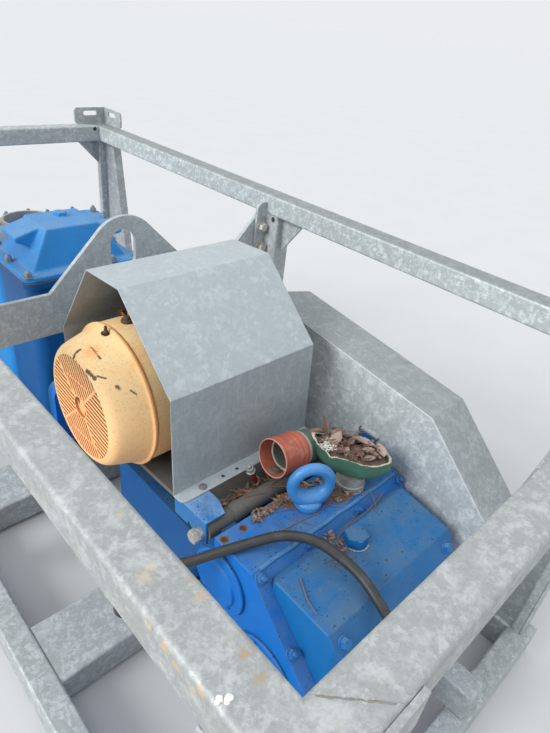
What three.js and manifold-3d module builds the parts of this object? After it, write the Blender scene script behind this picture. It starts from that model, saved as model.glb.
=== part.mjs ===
// Piston pump set in a galvanised lifting frame: millimetres, X across, Y along, Z up.
// The origin is at the middle of the frame's footprint, on the floor.
import * as THREE from 'three';
import { mergeVertices } from 'three/addons/utils/BufferGeometryUtils.js';
import Module from 'manifold-3d';

// Frame
const FRAME_HALF_X = 540;
const FRAME_HALF_Y = 1116;
const FRAME_TOP = 966;
const TUBE = 60;
const TUBE_CORNER = 7;
const BASE_TOP = 100;
const CROSS_BEAM_WIDTH = 171;
const CROSS_BEAM_DROP = 10;
const CROSS_BEAM_FRONT_Y = -447;
const CROSS_BEAM_REAR_Y = 139;
const BEARER_TOP = 190;
const BEARER_IN_X = 160;
const BEARER_OUT_X = 220;
const BEARER_END_Y = 1100;
const MID_POST_Y = -20;
const PLATE_STEEL = 9;
const GUSSET = { along: 85, down: 110, x: 505 };
const CORNER_GUSSET = { along: 85, down: 88, y: 1081, thick: 8 };
const CORNER_POST = { inset: 8, deep: 30 };
const CORNER_BRACE = { x: 508, topY: 999, footY: 870 };
const LIFT_EAR = { reach: 37, top: 941, bottom: 700, corner: 22 };
const SEAM = 60;
const HAIRLINE = 0.3;

// Stacking brackets and corner plates
const BRACKET = { leg: 136, high: 60, thick: 7, corner: 14, slotLong: 60, slotHigh: 18, slotRise: 9 };
const CORNER_PLATE = { long: 145, thick: 7, drop: 4 };

// Lifting plate
const LIFT = {
  y: 40, thick: 12, halfX: 475, bandLow: 686, bandHigh: 795, kneeX: 206,
  lugRadius: 97, lugTop: 961, holeX: -5, holeHalf: 35, holeTop: 928, holeLow: 818,
  endKneeX: 340, endTop: 903, endTopX: 450,
};

// Rain hood and motor, measured from the hinge axis and turned about it
const HINGE = { y: -596, z: 548, radius: 20, halfX: 216 };
const MOTOR_TILT = -3.5;
const MOTOR_AXIS = { y: 321, z: 152 };
const HOOD = {
  x0: -224, x1: 159, sheet: 3, top: 277, foot: -120, flange: 30, flangeCorner: 14,
  front: { ridge: -72, side: -235, knee: 111 }, rear: { ridge: 53, side: 206, knee: 91 },
};
const COWL = {
  x0: -295, z: 155, rimX: -216, face: 120, edge: 134, shoulder: 143, back: 157, rimRadius: 164, rim: 8,
};
const MOTOR_SLEEVE = { x1: -150, radius: 161 };
const MOTOR_BODY = { x1: 130, radius: 153, noseX: 175, noseRadius: 95 };
const MOTOR_FOOT = { x0: -120, x1: 110, halfY: 140, inY: 70, rise: 60 };
const MOTOR_PLATE = { halfX: 190, y0: 46, y1: 557, top: -16, thick: 12 };
const SHAFT_RADIUS = 24;
const ARM = {
  outX: -219, wide: 62, front: -14, back: 92, sheet: 6, low: -26, tipBack: 18, stepY: 46, stepLow: -5,
  clipX: 14, clipY: 38,
};
const REAR_SUPPORT = { y0: 528, y1: 557, outX: -219, inX: -160, sheet: 6 };
const SADDLE = { inX: 150, outX: 186, halfY: 26, bridgeTop: 512 };
// The hood ends short of the frame's right-hand side, so what carries it there stands further in
const RIGHT_SHIFT = 72;
const TENSION_POST = { x: 120, y: -210, radius: 12 };

// Belt guard
const GUARD_X0 = 234;
const GUARD_X1 = 360;
const GUARD_OUTLINE = [
  [-290, 806], [-781, 743], [-975, 566], [-975, 350], [-840, 218], [-560, 218], [-178, 588],
  [-139, 680], [-170, 756],
];
const PULLEY_AXIS = { y: -663, z: 470 };

// Crankcase and its cover, which lies on a split face sloping at 45 degrees
const CASE = { x0: -218, x1: 229, rearY: -634, frontY: -925, top: 567, low: 190 };
const CASE_FOOT = { x0: -228, x1: 233, high: 22 };
const SPLIT = 1308;
const COVER_X0 = -192;
const COVER_X1 = 201;
const COVER_OUTLINE = [[-760, 548], [-780, 562], [-905, 549], [-940, 502], [-940, 400], [-925, 383]];
const COVER_PLAN = [
  [-192, -775], [-178, -760], [187, -760], [201, -775], [195, -922], [179, -940], [-170, -940],
  [-186, -922],
];
const BEARING_COVER = { radius: 73, step: 51, low: 8, high: 14 };
const CRANK_COVER = { y: -804, z: 345, radius: 80, step: 60, low: 7, high: 12 };
const PLUG = { x: 2, y: -806, radius: 24, high: 18, root: 8 };
const EYE = {
  x: -12, y: -685, ring: 39.5, wire: 12, z: 59, collar: 29, step: 19, neck: 16, neckTop: 31, turn: 30,
};

// Pump bed, cylinder and chests
const BED = { halfX: 190, wall: 25, rearY: -225, top: 465, floor: 260, endHigh: 430 };
const CYLINDER = { z: 300, radius: 105, half: 165, halfHigh: 108, corner: 40, flange: 22, endY: 228 };
const CHEST = { halfX: 165, y0: 280, y1: 532, top: 704, corner: 40, footHalf: 216, foot: 22, neck: 118 };
const LID = { halfX: 180, y0: 263, y1: 549, flange: 18, corner: 32 };
const LID_HIP = { baseX: 148, baseY0: 294, baseY1: 518, topX: 80, topY0: 333, topY1: 480, top: 845 };
const LID_TAB = { y0: 363, y1: 470, x: -157, top: 822, thick: 14, root: -78, rootLow: 770 };
const LID_PLUG = { x: 7, y: 430, radius: 20, high: 13 };
const REAR_CHEST = { x0: -150, x1: 290, y0: 566, y1: 800, corner: 40, lip: 14 };
const NECK = { x: 8, y: 684, radius: 84, bore: 76, top: 760, flangeRadius: 114, flange: 18, depth: 80 };

// Torn elbow on its neck, and the red sleeve pushed over its spigot
const NECK_PIPE = { x: 105, y: -700, radius: 31, top: 604 };
const BOWL_BELLY = [
  [62, -630], [60, -658], [66, -686], [80, -712], [95, -737], [116, -754], [140, -764], [158, -760],
  [167, -743], [170, -716], [167, -688], [156, -660], [143, -632], [128, -605], [108, -583],
  [86, -570], [70, -566],
];
const BOWL_RIM = [
  [60, -629], [57, -656], [63, -684], [79, -710], [91, -737], [113, -754], [138, -763], [155, -758],
  [164, -742], [167, -716], [161, -694], [147, -674], [133, -654], [122, -634], [110, -614],
  [92, -600], [72, -598],
];
const BOWL_OUTSIDE = [[604, 0.62, 0], [615, 0.9, 0], [630, 1, 0], [655, 1, 1]];
const BOWL_INSIDE = [[610, 0.5, 0], [618, 0.8, 0], [630, 0.91, 0], [656, 0.91, 1]];
const BOWL_GATE = { x0: 62, x1: 90, y0: -612, y1: -576 };
const SLEEVE = {
  x: -32, y: -588, z: 634, turn: -2.1, dip: 7.5, long: 74, radius: 44, farRadius: 41.5, wall: 3.5,
};
const SPIGOT = { radius: 37.6, inside: 42, past: 36, wall: 5 };

// What holds the guard to the crankcase
const CLIP = { x0: 190, y0: -670, y1: -619, top: 616, sheet: 6 };
const GUARD_SPACER = { y0: -720, y1: -650, z0: 240, z1: 300 };

// Loose cable over the crankcase, and the gland at each end
const CABLE_RADIUS = 10;
const CABLE_ROUTE = [
  [-216.4, -560, 370], [-255, -560, 370], [-300, -562, 371], [-346, -568, 383], [-384, -576, 417],
  [-399, -587, 464], [-386, -602, 511], [-350, -621, 545], [-301, -639, 558], [-276, -652, 564],
  [-245, -668, 573], [-202, -690, 583], [-142, -722, 595], [-116, -744, 598], [-91, -779, 597],
  [-75, -829, 588], [-70, -877, 578], [-74, -927, 559], [-76, -971.5, 529], [-79, -1004, 492.6],
  [-82, -1023.5, 450.6], [-86, -1031, 402], [-88, -1022.4, 366], [-89, -996, 339.6],
  [-90, -972.5, 331], [-90, -960, 330], [-90, -951.4, 330],
];
const GLAND = { radius: 17, long: 26 };

// Turned pieces are drawn with this many flat sides
const ROUND = 40;
const FINE_ROUND = 24;

const wasm = await Module();
wasm.setup();

function toSolid(geometry) {
  const bare = geometry.clone();
  for (const name of ['normal', 'uv']) bare.deleteAttribute(name);
  const welded = mergeVertices(bare, 0.001);
  const mesh = new wasm.Mesh({
    numProp: 3,
    vertProperties: new Float32Array(welded.attributes.position.array),
    triVerts: new Uint32Array(welded.index.array),
  });
  return new wasm.Manifold(mesh);
}

function toGeometry(solid) {
  const mesh = solid.getMesh();
  const geometry = new THREE.BufferGeometry();
  geometry.setAttribute('position', new THREE.BufferAttribute(mesh.vertProperties, 3));
  geometry.setIndex(new THREE.BufferAttribute(mesh.triVerts, 1));
  geometry.computeVertexNormals();
  return geometry;
}

function join(...geometries) {
  const [first, ...rest] = geometries.map(toSolid);
  return toGeometry(rest.reduce((whole, piece) => whole.add(piece), first));
}

function cut(geometry, ...tools) {
  return toGeometry(tools.map(toSolid).reduce((whole, tool) => whole.subtract(tool), toSolid(geometry)));
}

function keepInside(geometry, mould) {
  return toGeometry(toSolid(geometry).intersect(toSolid(mould)));
}

// Shapes drawn in a plane and pushed along the third axis
function push(shape, length, segments = 6) {
  return new THREE.ExtrudeGeometry(shape, { depth: length, bevelEnabled: false, curveSegments: segments });
}

function alongX(shape, x0, x1, segments) {
  const axes = new THREE.Matrix4().set(0, 0, 1, x0, 1, 0, 0, 0, 0, 1, 0, 0, 0, 0, 0, 1);
  return push(shape, x1 - x0, segments).applyMatrix4(axes);
}

function alongY(shape, y0, y1, segments) {
  const axes = new THREE.Matrix4().set(1, 0, 0, 0, 0, 0, -1, y1, 0, 1, 0, 0, 0, 0, 0, 1);
  return push(shape, y1 - y0, segments).applyMatrix4(axes);
}

function alongZ(shape, z0, z1, segments) {
  return push(shape, z1 - z0, segments).translate(0, 0, z0);
}

function outline(points) {
  return new THREE.Shape(points.map(([a, b]) => new THREE.Vector2(a, b)));
}

function roundedRect(a0, a1, b0, b1, radius) {
  const shape = new THREE.Shape();
  shape.moveTo(a0 + radius, b0);
  shape.lineTo(a1 - radius, b0);
  shape.absarc(a1 - radius, b0 + radius, radius, -Math.PI / 2, 0, false);
  shape.lineTo(a1, b1 - radius);
  shape.absarc(a1 - radius, b1 - radius, radius, 0, Math.PI / 2, false);
  shape.lineTo(a0 + radius, b1);
  shape.absarc(a0 + radius, b1 - radius, radius, Math.PI / 2, Math.PI, false);
  shape.lineTo(a0, b0 + radius);
  shape.absarc(a0 + radius, b0 + radius, radius, Math.PI, Math.PI * 1.5, false);
  return shape;
}

function box(x0, x1, y0, y1, z0, z1) {
  const geometry = new THREE.BoxGeometry(x1 - x0, y1 - y0, z1 - z0);
  return geometry.translate((x0 + x1) / 2, (y0 + y1) / 2, (z0 + z1) / 2);
}

function discX(y, z, radius, x0, x1, sides = ROUND) {
  const disc = new THREE.CylinderGeometry(radius, radius, x1 - x0, sides);
  return disc.rotateZ(Math.PI / 2).translate((x0 + x1) / 2, y, z);
}

function discY(x, z, radius, y0, y1, sides = ROUND) {
  return new THREE.CylinderGeometry(radius, radius, y1 - y0, sides).translate(x, (y0 + y1) / 2, z);
}

function discZ(x, y, radius, z0, z1, sides = ROUND) {
  const disc = new THREE.CylinderGeometry(radius, radius, z1 - z0, sides);
  return disc.rotateX(Math.PI / 2).translate(x, y, (z0 + z1) / 2);
}

// A profile of radius and height turned about Z
function turned(profile, sides = ROUND) {
  const points = profile.map(([radius, height]) => new THREE.Vector2(radius, height));
  return new THREE.LatheGeometry(points, sides).rotateX(Math.PI / 2);
}

function mirrorX(geometry) {
  const flipped = geometry.clone().applyMatrix4(new THREE.Matrix4().makeScale(-1, 1, 1));
  const index = flipped.index ? flipped.index.array : null;
  if (index) {
    for (let i = 0; i < index.length; i += 3) [index[i], index[i + 1]] = [index[i + 1], index[i]];
    return flipped;
  }
  return flipTriangles(flipped);
}

function mirrorY(geometry) {
  return mirrorX(geometry.clone().rotateZ(Math.PI / 2)).rotateZ(-Math.PI / 2);
}

function flipTriangles(geometry) {
  const welded = mergeVertices(geometry, 0.001);
  const index = welded.index.array;
  for (let i = 0; i < index.length; i += 3) [index[i], index[i + 1]] = [index[i + 1], index[i]];
  return welded;
}

const FINISH = {
  galvanised: { color: 0xa9adad, roughness: 0.55, metalness: 0.75 },
  blue: { color: 0x1f63b5, roughness: 0.45, metalness: 0.1 },
  amber: { color: 0xe0a368, roughness: 0.6, metalness: 0.0 },
  castIron: { color: 0x4c4f50, roughness: 0.7, metalness: 0.6 },
  steel: { color: 0xb9bab8, roughness: 0.35, metalness: 0.9 },
  red: { color: 0xa84e3c, roughness: 0.7, metalness: 0.0 },
  green: { color: 0x2f6a48, roughness: 0.5, metalness: 0.0 },
  rubber: { color: 0x2b2b2c, roughness: 0.6, metalness: 0.0 },
};

const group = new THREE.Group();
const motorGroup = new THREE.Group();
motorGroup.position.set(0, HINGE.y, HINGE.z);
motorGroup.rotation.x = THREE.MathUtils.degToRad(MOTOR_TILT);
group.add(motorGroup);

function add(name, finish, geometry, parent = group) {
  const mesh = new THREE.Mesh(geometry, new THREE.MeshStandardMaterial(FINISH[finish]));
  mesh.name = name;
  parent.add(mesh);
}

// Base rails, end members, cross beams and bearers
function buildBase() {
  const inner = FRAME_HALF_X - TUBE;
  const railSection = roundedRect(-FRAME_HALF_X, -inner, 0, BASE_TOP, TUBE_CORNER);
  const rail = alongY(railSection, -FRAME_HALF_Y, FRAME_HALF_Y);
  add('base_rail_left', 'galvanised', rail);
  add('base_rail_right', 'galvanised', rail.clone().translate(FRAME_HALF_X + inner, 0, 0));
  const endIn = FRAME_HALF_Y - TUBE;
  const endBar = (y0) => alongX(roundedRect(y0, y0 + TUBE, 0, BASE_TOP, TUBE_CORNER), -inner, inner);
  add('base_end_front', 'galvanised', endBar(-FRAME_HALF_Y));
  add('base_end_rear', 'galvanised', endBar(endIn));
  const beam = (y0) => alongX(
    roundedRect(y0, y0 + CROSS_BEAM_WIDTH, CROSS_BEAM_DROP, BASE_TOP, TUBE_CORNER), -inner, inner);
  add('cross_beam_front', 'galvanised', beam(CROSS_BEAM_FRONT_Y));
  add('cross_beam_rear', 'galvanised', beam(CROSS_BEAM_REAR_Y));
  const section = roundedRect(-BEARER_OUT_X, -BEARER_IN_X, BASE_TOP, BEARER_TOP, TUBE_CORNER);
  const bearer = alongY(section, -BEARER_END_Y, BEARER_END_Y);
  add('pump_bearer_left', 'galvanised', bearer);
  add('pump_bearer_right', 'galvanised', bearer.clone().translate(BEARER_OUT_X + BEARER_IN_X, 0, 0));
}

// Top rails, cut so that the long rails own the corners and carry the corner plates
function buildTopRails() {
  const low = FRAME_TOP - TUBE;
  const innerX = FRAME_HALF_X - TUBE;
  const innerY = FRAME_HALF_Y - TUBE;
  const longSection = roundedRect(-FRAME_HALF_X, -innerX, low, FRAME_TOP, TUBE_CORNER);
  const longBar = alongY(longSection, -FRAME_HALF_Y, FRAME_HALF_Y);
  const crossSection = (y0) => roundedRect(y0, y0 + TUBE, low, FRAME_TOP, TUBE_CORNER);
  const crossBar = (y0) => alongX(crossSection(y0), -FRAME_HALF_X, FRAME_HALF_X);
  const longPlan = outline([
    [-FRAME_HALF_X, -FRAME_HALF_Y], [-innerX + SEAM, -FRAME_HALF_Y], [-innerX, -innerY],
    [-innerX, innerY], [-innerX + SEAM, FRAME_HALF_Y], [-FRAME_HALF_X, FRAME_HALF_Y],
  ]);
  const corners = join(longBar, crossBar(-FRAME_HALF_Y), crossBar(innerY));
  const { long, thick, drop } = CORNER_PLATE;
  const plateFace = -FRAME_HALF_Y - thick;
  const plateTop = FRAME_TOP - drop;
  const plate = join(
    box(-FRAME_HALF_X, -innerX + SEAM, plateFace, -FRAME_HALF_Y, low, plateTop),
    box(-innerX + SEAM - 1, -FRAME_HALF_X + long, plateFace, -FRAME_HALF_Y - HAIRLINE, low, plateTop));
  const leftRail = join(keepInside(corners, alongZ(longPlan, low, FRAME_TOP)), plate, mirrorY(plate));
  add('top_rail_left', 'galvanised', leftRail);
  add('top_rail_right', 'galvanised', mirrorX(leftRail));
  const frontPlan = outline([
    [-innerX + SEAM + HAIRLINE, -FRAME_HALF_Y], [innerX - SEAM - HAIRLINE, -FRAME_HALF_Y],
    [innerX - HAIRLINE, -innerY], [-innerX + HAIRLINE, -innerY],
  ]);
  const front = keepInside(crossBar(-FRAME_HALF_Y), alongZ(frontPlan, low, FRAME_TOP));
  add('top_rail_front', 'galvanised', front);
  add('top_rail_rear', 'galvanised', mirrorY(front));
}

// Corner posts with a tapered brace toward the long rail and a gusset toward the end rail
function buildCornerPosts() {
  const low = FRAME_TOP - TUBE;
  const x0 = FRAME_HALF_X - TUBE;
  const inX = x0 + TUBE_CORNER;
  const y0 = FRAME_HALF_Y - TUBE + CORNER_POST.inset;
  const y1 = y0 + CORNER_POST.deep;
  const bar = alongZ(roundedRect(x0, FRAME_HALF_X, y0, y1, TUBE_CORNER), BASE_TOP, low);
  const inY = y1 - TUBE_CORNER;
  const { x, topY, footY } = CORNER_BRACE;
  const brace = alongX(
    outline([[inY, low], [topY, low], [footY, BASE_TOP], [inY, BASE_TOP]]), x, FRAME_HALF_X);
  const gussetLow = low - CORNER_GUSSET.down;
  const gusset = alongY(
    outline([[inX, low], [x0 - CORNER_GUSSET.along, low], [x0, gussetLow], [inX, gussetLow]]),
    CORNER_GUSSET.y, CORNER_GUSSET.y + CORNER_GUSSET.thick);
  const rearRight = join(bar, brace, gusset);
  const frontRight = mirrorY(rearRight);
  add('corner_post_rear_right', 'galvanised', rearRight);
  add('corner_post_rear_left', 'galvanised', mirrorX(rearRight));
  add('corner_post_front_right', 'galvanised', frontRight);
  add('corner_post_front_left', 'galvanised', mirrorX(frontRight));
}

// Mid posts with a gusset and the ear that the lifting plate bolts to
function buildMidPosts() {
  const low = FRAME_TOP - TUBE;
  const x0 = FRAME_HALF_X - TUBE;
  const tube = alongZ(
    roundedRect(x0, FRAME_HALF_X, MID_POST_Y, MID_POST_Y + TUBE, TUBE_CORNER), BASE_TOP, low);
  const gusset = alongX(
    outline([
      [MID_POST_Y, low], [MID_POST_Y, low - GUSSET.down], [MID_POST_Y - GUSSET.along, low],
    ]),
    GUSSET.x, GUSSET.x + PLATE_STEEL);
  const ear = new THREE.Shape();
  const earX = x0 - LIFT_EAR.reach;
  ear.moveTo(x0 + TUBE_CORNER, LIFT_EAR.bottom);
  ear.lineTo(x0 + TUBE_CORNER, low);
  ear.lineTo(x0 - HAIRLINE, low);
  ear.lineTo(x0 - HAIRLINE, LIFT_EAR.top);
  ear.lineTo(earX + LIFT_EAR.corner, LIFT_EAR.top);
  ear.absarc(
    earX + LIFT_EAR.corner, LIFT_EAR.top - LIFT_EAR.corner, LIFT_EAR.corner, Math.PI / 2, Math.PI, false);
  ear.lineTo(earX, LIFT_EAR.bottom);
  const earPlate = alongY(ear, LIFT.y - PLATE_STEEL, LIFT.y);
  const right = join(tube, gusset, earPlate);
  add('mid_post_right', 'galvanised', right);
  add('mid_post_left', 'galvanised', mirrorX(right));
}

// Stacking brackets on the rear corners
function buildBrackets() {
  const { leg, high, thick, corner, slotLong, slotHigh, slotRise } = BRACKET;
  const z0 = FRAME_TOP;
  const slotMid = z0 + high / 2 + slotRise;
  const legShape = (a0, a1) => {
    const shape = new THREE.Shape();
    shape.moveTo(a0 + corner, z0);
    shape.lineTo(a1, z0);
    shape.lineTo(a1, z0 + high);
    shape.lineTo(a0 + corner, z0 + high);
    shape.absarc(a0 + corner, z0 + high - corner, corner, Math.PI / 2, Math.PI, false);
    shape.lineTo(a0, z0 + corner);
    shape.absarc(a0 + corner, z0 + corner, corner, Math.PI, Math.PI * 1.5, false);
    const mid = (a0 + a1) / 2;
    const slot = roundedRect(
      mid - slotLong / 2, mid + slotLong / 2, slotMid - slotHigh / 2, slotMid + slotHigh / 2,
      slotHigh / 2 - HAIRLINE);
    shape.holes.push(slot);
    return shape;
  };
  const alongEnd = alongY(legShape(FRAME_HALF_X - leg, FRAME_HALF_X), FRAME_HALF_Y - thick, FRAME_HALF_Y);
  const alongSide = alongX(legShape(FRAME_HALF_Y - leg, FRAME_HALF_Y), FRAME_HALF_X - thick, FRAME_HALF_X);
  const rearRight = join(alongEnd, alongSide);
  add('stacking_bracket_rear_right', 'galvanised', rearRight);
  add('stacking_bracket_rear_left', 'galvanised', mirrorX(rearRight));
}

// Lifting plate with a raised lug and an oval hole
function buildLiftingPlate() {
  const lugZ = LIFT.lugTop - LIFT.lugRadius;
  const rise = Math.atan2(lugZ - LIFT.bandHigh, LIFT.kneeX);
  const kneeReach = Math.hypot(LIFT.kneeX, lugZ - LIFT.bandHigh);
  const touch = Math.PI / 2 - Math.asin(LIFT.lugRadius / kneeReach) - rise;
  const angle = Math.PI / 2 - touch;
  const shape = new THREE.Shape();
  shape.moveTo(-LIFT.halfX, LIFT.bandLow);
  shape.lineTo(LIFT.halfX, LIFT.bandLow);
  shape.lineTo(LIFT.halfX, LIFT.endTop);
  shape.lineTo(LIFT.endTopX, LIFT.endTop);
  shape.lineTo(LIFT.endKneeX, LIFT.bandHigh);
  shape.lineTo(LIFT.kneeX, LIFT.bandHigh);
  shape.absarc(0, lugZ, LIFT.lugRadius, Math.PI / 2 - angle, Math.PI / 2 + angle, false);
  shape.lineTo(-LIFT.kneeX, LIFT.bandHigh);
  shape.lineTo(-LIFT.endKneeX, LIFT.bandHigh);
  shape.lineTo(-LIFT.endTopX, LIFT.endTop);
  shape.lineTo(-LIFT.halfX, LIFT.endTop);
  const { holeX, holeHalf, holeLow, holeTop } = LIFT;
  const hole = roundedRect(holeX - holeHalf, holeX + holeHalf, holeLow, holeTop, holeHalf - HAIRLINE);
  shape.holes.push(hole);
  add('lifting_plate', 'galvanised', alongY(shape, LIFT.y, LIFT.y + LIFT.thick, FINE_ROUND));
}

// Bent sheet hood over the motor
function buildHood() {
  const { top, foot, flange, sheet, flangeCorner, front, rear } = HOOD;
  const outside = ({ ridge, side, knee }) => [
    [ridge, top], [side, knee], [side, foot + sheet], [side + Math.sign(side) * flange, foot + sheet],
  ];
  const inside = ({ ridge, side, knee }) => [
    [side + Math.sign(side) * flange, foot], [side - Math.sign(side) * sheet, foot],
    [side - Math.sign(side) * sheet, knee - sheet / 2], [ridge - Math.sign(side) * sheet / 2, top - sheet],
  ];
  const section = outline([
    ...outside(front).reverse(), ...outside(rear), ...inside(rear), ...inside(front).reverse(),
  ]);
  const bent = alongX(section, HOOD.x0, HOOD.x1).translate(0, MOTOR_AXIS.y, MOTOR_AXIS.z);
  const near = front.side - flange;
  const far = rear.side + flange;
  const plan = outline([
    [HOOD.x0, near + flangeCorner], [HOOD.x0 + flangeCorner, near], [HOOD.x1 - flangeCorner, near],
    [HOOD.x1, near + flangeCorner], [HOOD.x1, far - flangeCorner], [HOOD.x1 - flangeCorner, far],
    [HOOD.x0 + flangeCorner, far], [HOOD.x0, far - flangeCorner],
  ]);
  const trim = alongZ(plan, MOTOR_AXIS.z + foot - 1, MOTOR_AXIS.z + top + 1).translate(0, MOTOR_AXIS.y, 0);
  add('rain_hood', 'galvanised', keepInside(bent, trim), motorGroup);
}

// Motor with its fan cowl, on a plate that swings on the hinge tube
function buildMotor() {
  const { y, z } = MOTOR_AXIS;
  const sleeveX = COWL.rimX + COWL.rim;
  const profile = [
    [0, 0], [COWL.face, 0], [COWL.edge, 8], [COWL.shoulder, 26],
    [COWL.back, COWL.rimX - COWL.x0], [COWL.rimRadius, COWL.rimX - COWL.x0],
    [COWL.rimRadius, sleeveX - COWL.x0], [0, sleeveX - COWL.x0],
  ];
  const cowl = turned(profile).rotateY(Math.PI / 2).translate(COWL.x0, y, COWL.z);
  const shell = discX(y, COWL.z, MOTOR_SLEEVE.radius, sleeveX - 1, MOTOR_SLEEVE.x1);
  add('fan_cowl', 'amber', join(cowl, shell), motorGroup);
  const barrel = discX(y, z, MOTOR_BODY.radius, MOTOR_SLEEVE.x1, MOTOR_BODY.x1);
  const nose = discX(y, z, MOTOR_BODY.noseRadius, MOTOR_BODY.x1 - 1, MOTOR_BODY.noseX);
  const footLow = MOTOR_PLATE.top + HAIRLINE;
  const footTop = footLow + MOTOR_FOOT.rise;
  const foot = (y0, y1) => box(MOTOR_FOOT.x0, MOTOR_FOOT.x1, y + y0, y + y1, footLow, footTop);
  const feet = [foot(MOTOR_FOOT.inY, MOTOR_FOOT.halfY), foot(-MOTOR_FOOT.halfY, -MOTOR_FOOT.inY)];
  const shaft = discX(y, z, SHAFT_RADIUS, MOTOR_BODY.noseX - 1, GUARD_X0 - HAIRLINE, FINE_ROUND);
  add('motor_body', 'castIron', join(barrel, nose, shaft, ...feet), motorGroup);
  const plate = box(
    -MOTOR_PLATE.halfX, MOTOR_PLATE.halfX, MOTOR_PLATE.y0, MOTOR_PLATE.y1,
    MOTOR_PLATE.top - MOTOR_PLATE.thick, MOTOR_PLATE.top);
  const { y0, y1, inX, outX, sheet } = REAR_SUPPORT;
  const hoodLow = z + HOOD.foot - HAIRLINE;
  const support = join(
    box(outX, inX, y0, y1, hoodLow - sheet, hoodLow),
    box(inX - sheet, inX, y0, y1, MOTOR_PLATE.top - 1, hoodLow));
  const rightSupport = mirrorX(support).translate(-RIGHT_SHIFT, 0, 0);
  add('motor_plate', 'blue', join(plate, support, rightSupport), motorGroup);
}

// Hinge tube, and at each end an arm that ties the plate and the hood to it
function buildHinge() {
  const tubeHalf = -ARM.outX - ARM.sheet - HAIRLINE;
  const tube = discX(0, 0, HINGE.radius, -tubeHalf, tubeHalf - RIGHT_SHIFT, FINE_ROUND);
  add('hinge_tube', 'castIron', tube, motorGroup);
  const top = MOTOR_AXIS.z + HOOD.foot - HAIRLINE;
  const low = MOTOR_PLATE.top + HAIRLINE;
  const inX = ARM.outX + ARM.wide;
  const cheek = alongX(outline([
    [ARM.front, top], [ARM.front, ARM.low], [ARM.tipBack, ARM.low], [ARM.stepY, ARM.stepLow],
    [ARM.stepY, low], [ARM.back, low], [ARM.back, top],
  ]), ARM.outX, ARM.outX + ARM.sheet);
  const lid = alongZ(outline([
    [ARM.outX, ARM.front], [inX - ARM.clipX, ARM.front], [inX, ARM.front + ARM.clipY], [inX, ARM.back],
    [ARM.outX, ARM.back],
  ]), top - ARM.sheet, top);
  const toe = box(ARM.outX, inX, ARM.stepY, ARM.back, low, low + ARM.sheet);
  const arm = join(cheek, lid, toe);
  add('hinge_arm_left', 'blue', arm, motorGroup);
  add('hinge_arm_right', 'blue', mirrorX(arm).translate(-RIGHT_SHIFT, 0, 0), motorGroup);
}

// Folded sheet housing round the belts
function buildGuard() {
  add('belt_guard', 'galvanised', alongX(outline(GUARD_OUTLINE), GUARD_X0, GUARD_X1));
}

// Crankcase with its pulley shaft, the sloping cover with a hex plug, and the side covers
function buildCrankcase() {
  const { x0, x1, rearY, frontY, top, low } = CASE;
  const body = alongX(outline([
    [rearY, low], [rearY, top], [top - SPLIT, top], [frontY, frontY + SPLIT], [frontY, low],
  ]), x0, x1);
  const end = CABLE_ROUTE.at(-1);
  const gland = discY(end[0], end[2], GLAND.radius, frontY - GLAND.long, frontY + 1, 6);
  const feet = box(CASE_FOOT.x0, CASE_FOOT.x1, frontY, rearY, low, low + CASE_FOOT.high);
  const { y, z } = PULLEY_AXIS;
  const shaft = discX(y, z, SHAFT_RADIUS, x1 - 1, GUARD_X0 - HAIRLINE, FINE_ROUND);
  const { y0, y1, z0, z1 } = GUARD_SPACER;
  const spacer = box(x1 - 1, GUARD_X0, y0, y1, z0, z1);
  add('crankcase', 'blue', join(body, feet, shaft, spacer, gland));
  const coverTop = COVER_OUTLINE[1][1];
  const plug = discZ(PLUG.x, PLUG.y, PLUG.radius, coverTop - PLUG.root, coverTop + PLUG.high, 6);
  const slab = keepInside(
    alongX(outline(COVER_OUTLINE), COVER_X0, COVER_X1), alongZ(outline(COVER_PLAN), CASE.low, CASE.top));
  add('crankcase_cover', 'blue', join(slab, plug));
  const bearing = join(
    discX(y, z, BEARING_COVER.radius, x0 - BEARING_COVER.low, x0),
    discX(y, z, BEARING_COVER.step, x0 - BEARING_COVER.high, x0 - 1));
  add('bearing_cover', 'blue', bearing);
  const crank = join(
    discX(CRANK_COVER.y, CRANK_COVER.z, CRANK_COVER.radius, x0 - CRANK_COVER.low, x0),
    discX(CRANK_COVER.y, CRANK_COVER.z, CRANK_COVER.step, x0 - CRANK_COVER.high, x0 - 1));
  add('crank_cover', 'blue', crank);
}

// Ring bolt on the crankcase
function buildEye() {
  const ring = new THREE.TorusGeometry(EYE.ring, EYE.wire, 14, 32);
  ring.rotateX(Math.PI / 2).translate(0, 0, EYE.z);
  const stem = turned([
    [0, 0], [EYE.collar, 0], [EYE.collar, EYE.step], [EYE.neck, EYE.neckTop], [0, EYE.neckTop],
  ], FINE_ROUND);
  const eye = join(ring, stem).rotateZ(THREE.MathUtils.degToRad(-EYE.turn));
  add('lifting_eye', 'blue', eye.translate(EYE.x, EYE.y, CASE.top));
}

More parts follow.
